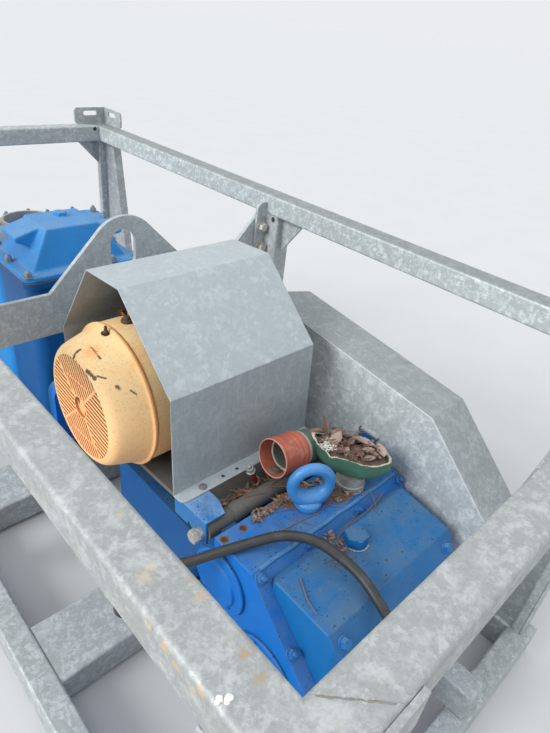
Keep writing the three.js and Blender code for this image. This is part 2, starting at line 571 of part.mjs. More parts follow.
// Open bed between crankcase and cylinder, with the saddles under the hinge tube
function buildBed() {
  const { halfX, wall, rearY, top, floor, endHigh } = BED;
  const low = BEARER_TOP;
  const trough = outline([
    [-halfX, low], [halfX, low], [halfX, top], [halfX - wall, top], [halfX - wall, floor],
    [-halfX + wall, floor], [-halfX + wall, top], [-halfX, top],
  ]);
  const end = box(-halfX, halfX, rearY - wall, rearY, low, endHigh);
  const saddle = box(
    -SADDLE.outX, -SADDLE.inX, HINGE.y - SADDLE.halfY, HINGE.y + SADDLE.halfY, top - 1, HINGE.z);
  const rightSaddle = saddle.clone().translate(SADDLE.inX + SADDLE.outX - RIGHT_SHIFT, 0, 0);
  const bridge = box(
    SADDLE.inX - RIGHT_SHIFT, halfX, HINGE.y - SADDLE.halfY, HINGE.y + SADDLE.halfY, top - 1,
    SADDLE.bridgeTop);
  const clearance = discX(HINGE.y, HINGE.z, HINGE.radius + HAIRLINE, -halfX, halfX);
  const [start] = CABLE_ROUTE;
  const gland = discX(start[1], start[2], GLAND.radius, -halfX - GLAND.long, -halfX + 1, 6);
  const trunk = alongY(trough, CASE.rearY, rearY);
  const bed = join(trunk, end, saddle, rightSaddle, bridge, gland);
  add('pump_bed', 'blue', cut(bed, clearance));
}

// Cylinder between bed and valve chest, and the posts that carry the swinging plate
function buildCylinder() {
  const { z, radius, half, halfHigh, corner, flange, endY } = CYLINDER;
  const square = roundedRect(-half, half, z - halfHigh, z + halfHigh, corner);
  const y0 = BED.rearY;
  const tilt = THREE.MathUtils.degToRad(MOTOR_TILT);
  const plateLow = MOTOR_PLATE.top - MOTOR_PLATE.thick;
  const postRear = TENSION_POST.y + TENSION_POST.radius;
  const along = (postRear - HINGE.y + plateLow * Math.sin(tilt)) / Math.cos(tilt);
  const postTop = HINGE.z + along * Math.sin(tilt) + plateLow * Math.cos(tilt) - HAIRLINE;
  const post = discZ(
    TENSION_POST.x, TENSION_POST.y, TENSION_POST.radius, z + halfHigh - 1, postTop, FINE_ROUND);
  add('cylinder', 'blue', join(
    alongY(square, y0, y0 + flange), discY(0, z, radius, y0 + 1, endY - 1),
    alongY(square, endY - flange, endY), post, mirrorX(post)));
}

// Valve chest with its hipped lid
function buildChest() {
  const { halfX, y0, y1, top, corner, footHalf, foot, neck } = CHEST;
  const low = BEARER_TOP;
  const square = roundedRect(
    -CYLINDER.half, CYLINDER.half, CYLINDER.z - CYLINDER.halfHigh, CYLINDER.z + CYLINDER.halfHigh,
    CYLINDER.corner);
  const body = join(
    alongZ(roundedRect(-halfX, halfX, y0, y1, corner), low, top),
    alongZ(roundedRect(-LID.halfX, LID.halfX, LID.y0, LID.y1, LID.corner), top, top + LID.flange),
    box(-footHalf, footHalf, y0, y1, low, low + foot),
    alongY(square, CYLINDER.endY, CYLINDER.endY + CYLINDER.flange),
    discY(0, CYLINDER.z, neck - 1, CYLINDER.endY + 1, y0 + corner));
  add('valve_chest', 'blue', body);
  const lidLow = top + LID.flange;
  const lidTop = lidLow + LID.flange;
  const tab = alongY(outline([
    [LID_TAB.root, LID_HIP.top], [LID_TAB.x, LID_TAB.top], [LID_TAB.x, LID_TAB.top - LID_TAB.thick],
    [LID_TAB.root, LID_TAB.rootLow],
  ]), LID_TAB.y0, LID_TAB.y1);
  const { x, y, radius, high } = LID_PLUG;
  const plug = discZ(x, y, radius, LID_HIP.top - 1, LID_HIP.top + high, 6);
  add('valve_chest_lid', 'blue', join(
    alongZ(roundedRect(-LID.halfX, LID.halfX, LID.y0, LID.y1, LID.corner), lidLow, lidTop),
    hip(LID_HIP, lidTop - 1), tab, plug));
}

// A box whose top face is smaller than its base
function hip({ baseX, baseY0, baseY1, topX, topY0, topY1, top }, low) {
  const geometry = box(-baseX, baseX, baseY0, baseY1, low, top);
  const corners = geometry.attributes.position;
  for (let i = 0; i < corners.count; i += 1) {
    if (corners.getZ(i) > low) {
      corners.setX(i, Math.sign(corners.getX(i)) * topX);
      corners.setY(i, corners.getY(i) < (baseY0 + baseY1) / 2 ? topY0 : topY1);
    }
  }
  return geometry;
}

// Rear chest with an upright pipe neck
function buildRearChest() {
  const { x0, x1, y0, y1, corner, lip } = REAR_CHEST;
  const { top, footHalf, foot } = CHEST;
  const low = BEARER_TOP;
  const flangeTop = top + LID.flange;
  const chest = join(
    alongZ(roundedRect(x0, x1 - corner, y0 + lip, y1 - lip, corner), low, top),
    alongZ(roundedRect(x0 - lip, x1 + lip, y0, y1, corner), top, flangeTop),
    box(-footHalf, footHalf, y0 + lip, y1 - lip, low, low + foot));
  const bore = discZ(NECK.x, NECK.y, NECK.bore, flangeTop - NECK.depth, flangeTop + 1);
  add('rear_chest', 'blue', cut(chest, bore));
  const neck = turned([
    [NECK.bore, flangeTop], [NECK.flangeRadius, flangeTop], [NECK.flangeRadius, flangeTop + NECK.flange],
    [NECK.radius, flangeTop + NECK.flange], [NECK.radius, NECK.top], [NECK.bore, NECK.top],
    [NECK.bore, flangeTop],
  ]);
  add('pipe_neck', 'steel', neck.translate(NECK.x, NECK.y, 0));
}

// A solid through level rings between two outlines, each drawn in toward the neck by its own share
function throughRings(belly, rim, rings, { x, y }) {
  const count = belly.length;
  const positions = [];
  for (const [z, share, toRim] of rings) {
    belly.forEach(([a, b], i) => {
      const across = a + (rim[i][0] - a) * toRim - x;
      const along = b + (rim[i][1] - b) * toRim - y;
      positions.push(x + across * share, y + along * share, z);
    });
  }
  for (const [z] of [rings[0], rings.at(-1)]) positions.push(x, y, z);
  const bottom = count * rings.length;
  const lastRing = bottom - count;
  const index = [];
  for (let i = 0; i < count; i += 1) {
    const next = (i + 1) % count;
    index.push(bottom, next, i, bottom + 1, lastRing + i, lastRing + next);
    for (let low = 0; low < lastRing; low += count) {
      index.push(low + i, low + next, low + count + next, low + i, low + count + next, low + count + i);
    }
  }
  const geometry = new THREE.BufferGeometry();
  geometry.setAttribute('position', new THREE.Float32BufferAttribute(positions, 3));
  geometry.setIndex(index);
  return geometry;
}

// Torn elbow like an open bowl on its neck, with the spigot that the red sleeve is pushed over
function buildFiller() {
  const { x, y, radius, top } = NECK_PIPE;
  add('filler_neck', 'steel', discZ(x, y, radius, CASE.top, top, FINE_ROUND));
  const turn = THREE.MathUtils.degToRad(SLEEVE.turn);
  const dip = THREE.MathUtils.degToRad(SLEEVE.dip);
  const lay = (geometry) => geometry.rotateY(dip).rotateZ(turn).translate(SLEEVE.x, SLEEVE.y, SLEEVE.z);
  const from = SLEEVE.long - SPIGOT.inside;
  const to = SLEEVE.long + SPIGOT.past;
  const spigot = lay(discX(0, 0, SPIGOT.radius, from, to));
  const bore = lay(discX(0, 0, SPIGOT.radius - SPIGOT.wall, from - 1, to - SPIGOT.wall));
  const outside = throughRings(BOWL_BELLY, BOWL_RIM, BOWL_OUTSIDE, NECK_PIPE);
  const hollow = throughRings(BOWL_BELLY, BOWL_RIM, BOWL_INSIDE, NECK_PIPE);
  const { x0, x1, y0, y1 } = BOWL_GATE;
  const gate = box(x0, x1, y0, y1, BOWL_INSIDE[1][0], BOWL_INSIDE.at(-1)[0]);
  add('filler_bowl', 'green', cut(join(outside, spigot), bore, hollow, gate));
  const { long, radius: nearRadius, farRadius, wall } = SLEEVE;
  const tube = turned([
    [nearRadius - wall, 0], [nearRadius, 0], [farRadius, long], [farRadius - wall, long],
    [nearRadius - wall, 0],
  ]);
  add('inlet_sleeve', 'red', lay(tube.rotateY(Math.PI / 2)));
}

// Angle that ties the belt guard to the crankcase
function buildGuardClip() {
  const clip = join(
    box(CLIP.x0, GUARD_X0, CLIP.y0, CLIP.y1, CASE.top, CASE.top + CLIP.sheet),
    box(GUARD_X0 - CLIP.sheet, GUARD_X0, CLIP.y0, CLIP.y1, CASE.top, CLIP.top));
  add('guard_clip', 'galvanised', clip);
}

// Cable that lies over the crankcase between its two glands
function buildCable() {
  const path = new THREE.CatmullRomCurve3(CABLE_ROUTE.map((point) => new THREE.Vector3(...point)));
  const section = new THREE.Shape();
  section.absarc(0, 0, CABLE_RADIUS, 0, Math.PI * 2, false);
  const cable = new THREE.ExtrudeGeometry(section, { steps: 60, extrudePath: path, curveSegments: 10 });
  add('power_cable', 'rubber', cable);
}

const builders = [
  buildBase, buildTopRails, buildCornerPosts, buildMidPosts, buildBrackets, buildLiftingPlate,
  buildHood, buildMotor, buildHinge, buildGuard, buildCrankcase, buildEye, buildBed,
  buildCylinder, buildChest, buildRearChest, buildFiller, buildGuardClip, buildCable,
];
for (const build of builders) build();

export default group;
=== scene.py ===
# Piston pump set in a galvanised lifting frame: the dressed model, in metres.
import random
from math import atan2, cos, degrees, pi, radians, sin, sqrt, tan

import bmesh
import bpy
from mathutils import Matrix, Vector, noise
from mathutils.geometry import tessellate_polygon


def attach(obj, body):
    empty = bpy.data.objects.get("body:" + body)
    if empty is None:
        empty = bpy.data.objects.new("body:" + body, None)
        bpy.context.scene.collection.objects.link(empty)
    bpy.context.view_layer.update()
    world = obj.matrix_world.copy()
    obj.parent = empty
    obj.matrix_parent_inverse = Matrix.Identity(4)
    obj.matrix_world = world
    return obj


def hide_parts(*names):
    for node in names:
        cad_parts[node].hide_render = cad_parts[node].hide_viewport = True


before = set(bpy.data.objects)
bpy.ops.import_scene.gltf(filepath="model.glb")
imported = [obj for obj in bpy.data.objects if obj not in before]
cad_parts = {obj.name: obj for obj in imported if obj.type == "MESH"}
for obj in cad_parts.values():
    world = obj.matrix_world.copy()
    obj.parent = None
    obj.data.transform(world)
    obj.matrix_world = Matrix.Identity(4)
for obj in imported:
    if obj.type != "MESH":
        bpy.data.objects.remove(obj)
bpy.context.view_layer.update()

MM = 0.001

# Camera of the photograph: place, axes in the frame, and lens in millimetres
CAMERA_AT = (-0.6907, -1.1778, 1.417)
CAMERA_RIGHT = Vector((0.72559, -0.68003, 0.10530))
CAMERA_DOWN = Vector((-0.30088, -0.45115, -0.84020))
CAMERA_AHEAD = Vector((0.61886, 0.57795, -0.53196))
CAMERA_LENS = 27.18

# The motor and its hood are turned about the hinge axis
HINGE = Vector((0, -596, 548)) * MM
MOTOR = Matrix.Translation(HINGE) @ Matrix.Rotation(radians(-3.5), 4, "X")
MOTOR_Y = 321
MOTOR_Z = 152
COWL_Z = 155

# Turns a shape drawn in X and Y and pushed along Z into one drawn in Y and Z and pushed along X
ALONG_X = Matrix(((0, 0, 1, 0), (1, 0, 0, 0), (0, 1, 0, 0), (0, 0, 0, 1)))

# Loose cable between its two glands
CABLE_RADIUS = 0.010
CABLE_ROUTE = [
    (-0.2164, -0.56, 0.37), (-0.255, -0.56, 0.37), (-0.3, -0.562, 0.371), (-0.346, -0.568, 0.383),
    (-0.384, -0.576, 0.417), (-0.399, -0.587, 0.464), (-0.386, -0.602, 0.511), (-0.35, -0.621, 0.545),
    (-0.301, -0.639, 0.558), (-0.276, -0.652, 0.564), (-0.245, -0.668, 0.573), (-0.202, -0.69, 0.583),
    (-0.142, -0.722, 0.595), (-0.116, -0.744, 0.598), (-0.091, -0.779, 0.597), (-0.075, -0.829, 0.588),
    (-0.07, -0.877, 0.578), (-0.074, -0.927, 0.559), (-0.076, -0.9715, 0.529), (-0.079, -1.004, 0.4926),
    (-0.082, -1.0235, 0.4506), (-0.086, -1.031, 0.402), (-0.088, -1.0224, 0.366),
    (-0.089, -0.996, 0.3396), (-0.09, -0.9725, 0.331), (-0.09, -0.96, 0.33), (-0.09, -0.9514, 0.33),
]

# Frame in millimetres: inner faces of its rails and posts, middle of its braces, and its levels
RAIL_IN = 480
BRACE_X = 508
BASE_TOP = 100
RAIL_UNDER = 906
RAIL_TOP = 966

# Levels of the pump in millimetres: crankcase, feet on the bed, flanges of the chests
CASE_TOP = 567
FOOT_TOP = 212
CHEST_TOP = 740

# Torn elbow: its widest outline, its torn rim, and the neck it stands on
NECK = Vector((105, -700))
FILL_CENTRE = Vector((112, -674))
BOWL_BELLY = [
    (62, -630), (60, -658), (66, -686), (80, -712), (95, -737), (116, -754), (140, -764), (158, -760),
    (167, -743), (170, -716), (167, -688), (156, -660), (143, -632), (128, -605), (108, -583),
    (86, -570), (70, -566),
]
BOWL_RIM = [
    (60, -629), (57, -656), (63, -684), (79, -710), (91, -737), (113, -754), (138, -763), (155, -758),
    (164, -742), (167, -716), (161, -694), (147, -674), (133, -654), (122, -634), (110, -614),
    (92, -600), (72, -598),
]


# ---------------------------------------------------------------- camera and light
def linked(name, data):
    """A new object in the scene."""
    made = bpy.data.objects.new(name, data)
    bpy.context.collection.objects.link(made)
    return made


def add_camera():
    data = bpy.data.cameras.new("camera")
    data.sensor_width = 36
    data.lens = CAMERA_LENS
    data.clip_start = 0.01
    data.clip_end = 1000
    camera = linked("camera", data)
    turn = Matrix((CAMERA_RIGHT, -CAMERA_DOWN, -CAMERA_AHEAD)).transposed().to_4x4()
    camera.matrix_world = Matrix.Translation(CAMERA_AT) @ turn
    bpy.context.scene.camera = camera


def add_sun(name, source, strength, spread, colour):
    """A soft light from far away; source is the direction it comes from."""
    data = bpy.data.lights.new(name, "SUN")
    data.energy = strength
    data.angle = radians(spread)
    data.color = colour
    linked(name, data).rotation_euler = Vector(source).to_track_quat("Z", "Y").to_euler()


def add_world():
    world = bpy.data.worlds.new("studio")
    world.use_nodes = True
    background = world.node_tree.nodes["Background"]
    background.inputs["Color"].default_value = (0.96, 0.98, 1.0, 1)
    background.inputs["Strength"].default_value = 0.86
    bpy.context.scene.world = world
    bpy.context.scene.view_settings.view_transform = "Standard"


# ---------------------------------------------------------------- shader graphs
class Graph:
    """Nodes of one material, in the frame's metres; colour is what has been laid on so far."""

    def __init__(self, name, seed=0.0):
        self.material = bpy.data.materials.new(name)
        self.material.use_nodes = True
        self.tree = self.material.node_tree
        self.raw = self.add("ShaderNodeTexCoord").outputs["Object"]
        shift = self.add("ShaderNodeMapping", {"Vector": self.raw})
        shift.inputs["Location"].default_value = (seed * 3.1, seed * 1.7, seed * 2.3)
        self.place = shift.outputs["Vector"]
        self.colour = None
        self.ragged = None

    def put(self, socket, value):
        """Links a socket to another node's output, or sets its value."""
        if isinstance(value, bpy.types.NodeSocket):
            self.tree.links.new(value, socket)
        elif socket.type == "RGBA":
            socket.default_value = (*value, 1)
        else:
            socket.default_value = value

    def add(self, kind, inputs=None, **settings):
        node = self.tree.nodes.new(kind)
        for key, value in settings.items():
            setattr(node, key, value)
        for key, value in (inputs or {}).items():
            self.put(node.inputs[key], value)
        return node

    def maths(self, operation, a, b):
        return self.add("ShaderNodeMath", {0: a, 1: b}, operation=operation).outputs[0]

    def both(self, a, b):
        return self.maths("MULTIPLY", a, b)

    def vectors(self, operation, a, b):
        """Maths of two vectors, or of a vector and a factor."""
        second = "Scale" if operation == "SCALE" else 1
        node = self.add("ShaderNodeVectorMath", {0: a, second: b}, operation=operation)
        return node.outputs["Value" if operation in ("DISTANCE", "DOT_PRODUCT") else "Vector"]

    def part(self, vector, axis):
        return self.add("ShaderNodeSeparateXYZ", {"Vector": vector}).outputs[axis]

    def noise(self, scale, detail, rough, distortion=0.0, vector=None):
        node = self.add("ShaderNodeTexNoise", {
            "Vector": vector or self.place, "Scale": scale, "Detail": detail, "Roughness": rough,
            "Distortion": distortion})
        return node.outputs["Fac"]

    def mask(self, value, low, high):
        """0 below low, 1 above high, and smooth between them."""
        node = self.add("ShaderNodeMapRange", {
            "Value": value, "From Min": low, "From Max": high}, interpolation_type="SMOOTHSTEP")
        return node.outputs["Result"]

    def spread(self, value, low, high):
        """A value from 0 to 1 turned into one from low to high."""
        node = self.add("ShaderNodeMapRange", {"Value": value, "To Min": low, "To Max": high})
        return node.outputs["Result"]

    def blotches(self, scale, detail, rough, low, high, distortion=0.0):
        return self.mask(self.noise(scale, detail, rough, distortion), low, high)

    def stretched(self, scale):
        return self.add("ShaderNodeMapping", {"Vector": self.place, "Scale": scale}).outputs["Vector"]

    def warped(self, scale, amount):
        """The place, pushed about by a noise."""
        field = self.add("ShaderNodeTexNoise", {"Vector": self.place, "Scale": scale, "Detail": 3.0})
        centred = self.vectors("SUBTRACT", field.outputs["Color"], (0.5, 0.5, 0.5))
        return self.vectors("ADD", self.place, self.vectors("SCALE", centred, amount))

    def cells(self, scale, warp, amount):
        """Of irregular cells: a random value, the distance to the middle and a second random value."""
        node = self.add("ShaderNodeTexVoronoi", {"Vector": self.warped(warp, amount), "Scale": scale})
        value = self.add("ShaderNodeSeparateColor", {"Color": node.outputs["Color"]})
        return value.outputs[0], node.outputs["Distance"], value.outputs[1]

    def specks(self, scale, warp, amount, size, edge, low, high):
        """Round specks of many sizes in a share of the cells."""
        pick, near, reach = self.cells(scale, warp, amount)
        dot = self.mask(self.maths("SUBTRACT", self.both(reach, size), near), 0.0, edge)
        return self.both(dot, self.mask(pick, low, high))

    def upward(self, low, high):
        """1 on what faces up, 0 on what hangs or stands."""
        normal = self.add("ShaderNodeNewGeometry").outputs["Normal"]
        return self.mask(self.part(normal, 2), low, high)

    def within(self, away, inner, outer):
        """1 inside a ragged distance in millimetres, 0 outside it."""
        if self.ragged is None:
            self.ragged = self.spread(self.noise(160, 4, 0.65), -1.0, 1.0)
        edge = self.maths("ADD", away, self.both(self.ragged, outer * MM))
        return self.mask(edge, outer * MM, inner * MM)

    def spot(self, centre, inner, outer):
        """A ragged patch round a point in millimetres."""
        return self.within(self.vectors("DISTANCE", self.raw, [c * MM for c in centre]), inner, outer)

    def stroke(self, start, end, inner, outer):
        """A ragged stroke between two points in millimetres."""
        one, two = Vector(start) * MM, Vector(end) * MM
        along = two - one
        step = self.vectors("SUBTRACT", self.raw, one)
        share = self.vectors("DOT_PRODUCT", step, along / along.length_squared)
        share = self.add("ShaderNodeClamp", {"Value": share}).outputs[0]
        nearest = self.vectors("SCALE", along, share)
        return self.within(self.vectors("DISTANCE", step, nearest), inner, outer)

    def mix(self, share, a, b):
        node = self.add("ShaderNodeMix", data_type="RGBA")
        colours = [socket for socket in node.inputs if socket.type == "RGBA"]
        for socket, value in zip((node.inputs[0], *colours), (share, a, b)):
            self.put(socket, value)
        return [socket for socket in node.outputs if socket.type == "RGBA"][0]

    def tint(self, share, amount, tone):
        """Lays a tone over the colour, by a share from 0 to 1 and an amount."""
        self.colour = self.mix(self.both(share, amount), self.colour, tone)

    def finish(self, rough, metallic=0.0, height=None, strength=0.0, distance=0.0, gloss=0.5):
        inputs = self.tree.nodes["Principled BSDF"].inputs
        self.put(inputs["Base Color"], self.colour)
        self.put(inputs["Roughness"], rough)
        self.put(inputs["Metallic"], metallic)
        self.put(inputs["Specular IOR Level"], gloss)
        if height is not None:
            bump = self.add("ShaderNodeBump", {
                "Height": height, "Strength": strength, "Distance": distance})
            self.put(inputs["Normal"], bump.outputs["Normal"])
        return self.material


def scaled(colour, factor):
    return tuple(min(1.0, c * factor) for c in colour)


# ---------------------------------------------------------------- finishes
def galvanised(name, tone, seed, flakes, flake, clouds=0.8, stains=0.0, streaks=0.0, spots=(),
               sheltered=False, top=1.0):
    """Hot dip zinc: fine spangle, feathery bright patches, cloudy bloom and tea coloured stains; top scales
    faces that look up, as painted light and shade.
    """
    g = Graph(name, seed)
    g.colour = g.mix(g.noise(4.5, 5, 0.55), scaled(tone, 0.88), scaled(tone, 1.1))
    spangle = g.cells(150, 75, 0.014)[0]
    g.tint(spangle, 0.3, scaled(tone, 0.74))
    grain = g.noise(330, 4, 0.75)
    g.tint(g.mask(grain, 0.4, 0.7), 0.32, scaled(tone, 0.64))
    cloud = g.noise(30, 8, 0.72, 0.4)
    g.tint(g.mask(cloud, 0.48, 0.66), clouds, scaled(tone, 1.36))
    crystal = g.cells(flake, flake * 0.8, 1.6 / flake)[0]
    broken = g.mask(g.noise(flake * 1.3, 6, 0.75, 0.0, g.warped(flake * 0.6, 1.2 / flake)), 0.44, 0.58)
    small = g.cells(flake * 2.6, flake * 1.9, 0.7 / flake)[0]
    chips = g.both(g.mask(small, 0.66, 0.86), g.blotches(flake * 0.6, 4, 0.7, 0.4, 0.6))
    patch = g.maths("MAXIMUM", g.both(g.mask(crystal, 0.56, 0.8), broken), g.both(chips, 0.6))
    if sheltered:
        patch = g.both(patch, g.upward(0.05, 0.35))
    g.tint(patch, flakes, scaled(tone, 1.5))
    if streaks:
        drips = g.noise(16, 6, 0.7, 0.0, g.stretched((8, 8, 0.7)))
        g.tint(g.mask(drips, 0.48, 0.7), streaks, scaled(tone, 1.45))
    upward = g.upward(0.3, 0.9)
    # Painted light and shade: faces that look up are scaled by top, lighter above 1 as a painted highlight,
    # darker below 1 as painted shade.
    if top != 1.0:
        g.tint(upward, 0.65, scaled(tone, top))
    g.tint(g.both(g.blotches(30, 6, 0.7, 0.6, 0.76), upward), 0.22, (0.2, 0.17, 0.11))
    if stains:
        rust = g.both(g.blotches(6.5, 6, 0.62, 0.64, 0.74), g.blotches(34, 4, 0.6, 0.42, 0.64))
        g.tint(rust, stains, (0.34, 0.22, 0.1))
    for centre, inner, outer, shade in spots:
        g.tint(g.spot(centre, inner, outer), 0.6, shade)
    height = g.maths("ADD", g.both(cloud, 0.5), g.both(grain, 0.35))
    rough = g.spread(g.both(g.maths("ADD", spangle, cloud), 0.5), 0.42, 0.7)
    return g.finish(rough, 0.2, height, 0.22, 0.0006)


def paint(name, tone, dusty, seed, dust=0.75, specks=0.8, rust=0.0, rough=0.42, gloss=0.16):
    """Enamel over a casting: dust and dark specks on what faces up, and small chips."""
    g = Graph(name, seed)
    g.colour = g.mix(g.noise(9, 6, 0.65), scaled(tone, 0.74), scaled(tone, 1.22))
    g.tint(g.blotches(120, 5, 0.75, 0.5, 0.72), 0.25, scaled(tone, 0.55))
    upward = g.upward(0.25, 0.92)
    film = g.both(upward, g.blotches(16, 6, 0.68, 0.22, 0.66))
    g.tint(film, dust, dusty)
    g.tint(g.both(upward, g.blotches(60, 5, 0.7, 0.6, 0.8)), 0.3 * dust, (0.36, 0.4, 0.4))
    g.tint(g.both(upward, g.blotches(10, 5, 0.6, 0.55, 0.75, 0.6)), 0.35 * dust, (0.11, 0.1, 0.08))
    fine = g.both(g.specks(330, 200, 0.003, 0.42, 0.08, 0.35, 0.5), upward)
    g.tint(fine, 0.6 * specks, (0.04, 0.06, 0.09))
    dot = g.both(g.specks(150, 120, 0.004, 0.34, 0.06, 0.45, 0.6), g.spread(upward, 0.12, 1.0))
    g.tint(dot, specks, (0.025, 0.035, 0.05))
    if rust:
        g.tint(g.blotches(24, 6, 0.7, 0.63, 0.68), rust, (0.13, 0.055, 0.025))
    height = g.maths("ADD", g.noise(46, 4, 0.6), g.both(dot, 0.6))
    return g.finish(g.spread(film, rough, 0.72), 0.0, height, 0.22, 0.0009, gloss)


# Tea coloured places on the near rail: centre, core, ragged edge and colour
RAIL_STAINS = [
    ((-541, -925, 957), 2, 7, (0.62, 0.5, 0.28)), ((-541, -951, 957), 3, 8, (0.62, 0.46, 0.22)),
    ((-541, -966, 952), 2, 8, (0.6, 0.44, 0.22)), ((-541, -1001, 960), 2, 7, (0.58, 0.42, 0.2)),
    ((-541, -990, 950), 1, 8, (0.6, 0.5, 0.3)), ((-494, -1002, 966), 1, 8, (0.4, 0.25, 0.13)),
    ((-499, -1025, 966), 1, 9, (0.38, 0.27, 0.15)), ((-490, -934, 966), 1, 8, (0.46, 0.31, 0.16)),
    ((-487, -915, 966), 0, 7, (0.42, 0.33, 0.2)), ((-520, -886, 966), 0, 12, (0.56, 0.5, 0.34)),
    ((-510, -880, 966), 0, 9, (0.56, 0.5, 0.34)), ((-498, -806, 966), 0, 8, (0.52, 0.47, 0.3)),
]

# Scorched and scratched places on the cowl: from, to, half width of the core and of its ragged edge
MARKS = [
    ((-284, -262.9, 817.6), (-293, -259.4, 804), 2, 6), ((-289, -261, 813), (-281, -264, 819), 1.6, 5),
    ((-263.7, -276.8, 825), (-263.3, -312.3, 818), 0.5, 3.2),
    ((-292.3, -311.5, 798.7), (-288.4, -334.7, 793.8), 2.2, 6),
    ((-284.4, -336.7, 797.2), (-273.4, -349, 795.2), 0.6, 3), ((-261, -368, 782), (-260, -374, 780), 1.6, 5),
    ((-240.8, -384.3, 774), (-233.4, -392, 766.3), 0.4, 2.4),
]

# Middle of the orange bloom on the cowl
BLOOM = (-268, -288, 822)


def moulded(name, tone, warm, seed, marks=()):
    """Sun faded fan cowl plastic with orange bloom, scorch marks and mould specks."""
    g = Graph(name, seed)
    g.colour = g.mix(g.noise(6, 5, 0.6), scaled(tone, 0.88), scaled(tone, 1.06))
    g.tint(g.mask(g.part(g.raw, 2), 0.84, 0.6), 0.62, warm)
    g.tint(g.blotches(110, 5, 0.75, 0.5, 0.72), 0.45, scaled(tone, 0.7))
    g.tint(g.blotches(13, 5, 0.65, 0.48, 0.7, 0.5), 0.8, warm)
    if marks:
        g.tint(g.spot(BLOOM, 8, 26), 0.8, warm)
    across = g.part(g.raw, 0)
    g.tint(g.both(g.mask(across, -0.219, -0.214), g.mask(across, -0.202, -0.208)), 0.7, warm)
    for mark in marks:
        g.tint(g.stroke(*mark), 0.95, (0.08, 0.035, 0.02))
    g.tint(g.specks(300, 90, 0.004, 0.4, 0.1, 0.4, 0.55), 0.6, (0.32, 0.17, 0.08))
    skin = g.noise(160, 4, 0.65)
    return g.finish(g.spread(skin, 0.45, 0.7), 0.0, skin, 0.18, 0.0006)


def plain(name, tone, seed, rough=0.5, metallic=0.0, variation=0.25, dirt=(0.12, 0.1, 0.08), soiled=0.4,
          grain=180, bump=0.3):
    """A finish with drift, dirt and grain, for rubber, bright metal, litter and rust."""
    g = Graph(name, seed)
    g.colour = g.mix(g.noise(22, 5, 0.6), scaled(tone, 1 - variation), scaled(tone, 1 + variation))
    g.tint(g.both(g.blotches(38, 6, 0.7, 0.48, 0.7), g.spread(g.upward(-0.2, 0.8), 0.4, 1.0)), soiled, dirt)
    skin = g.noise(grain, 4, 0.65)
    return g.finish(g.spread(skin, rough * 0.8, min(1.0, rough * 1.25)), metallic, skin, bump, 0.0006)
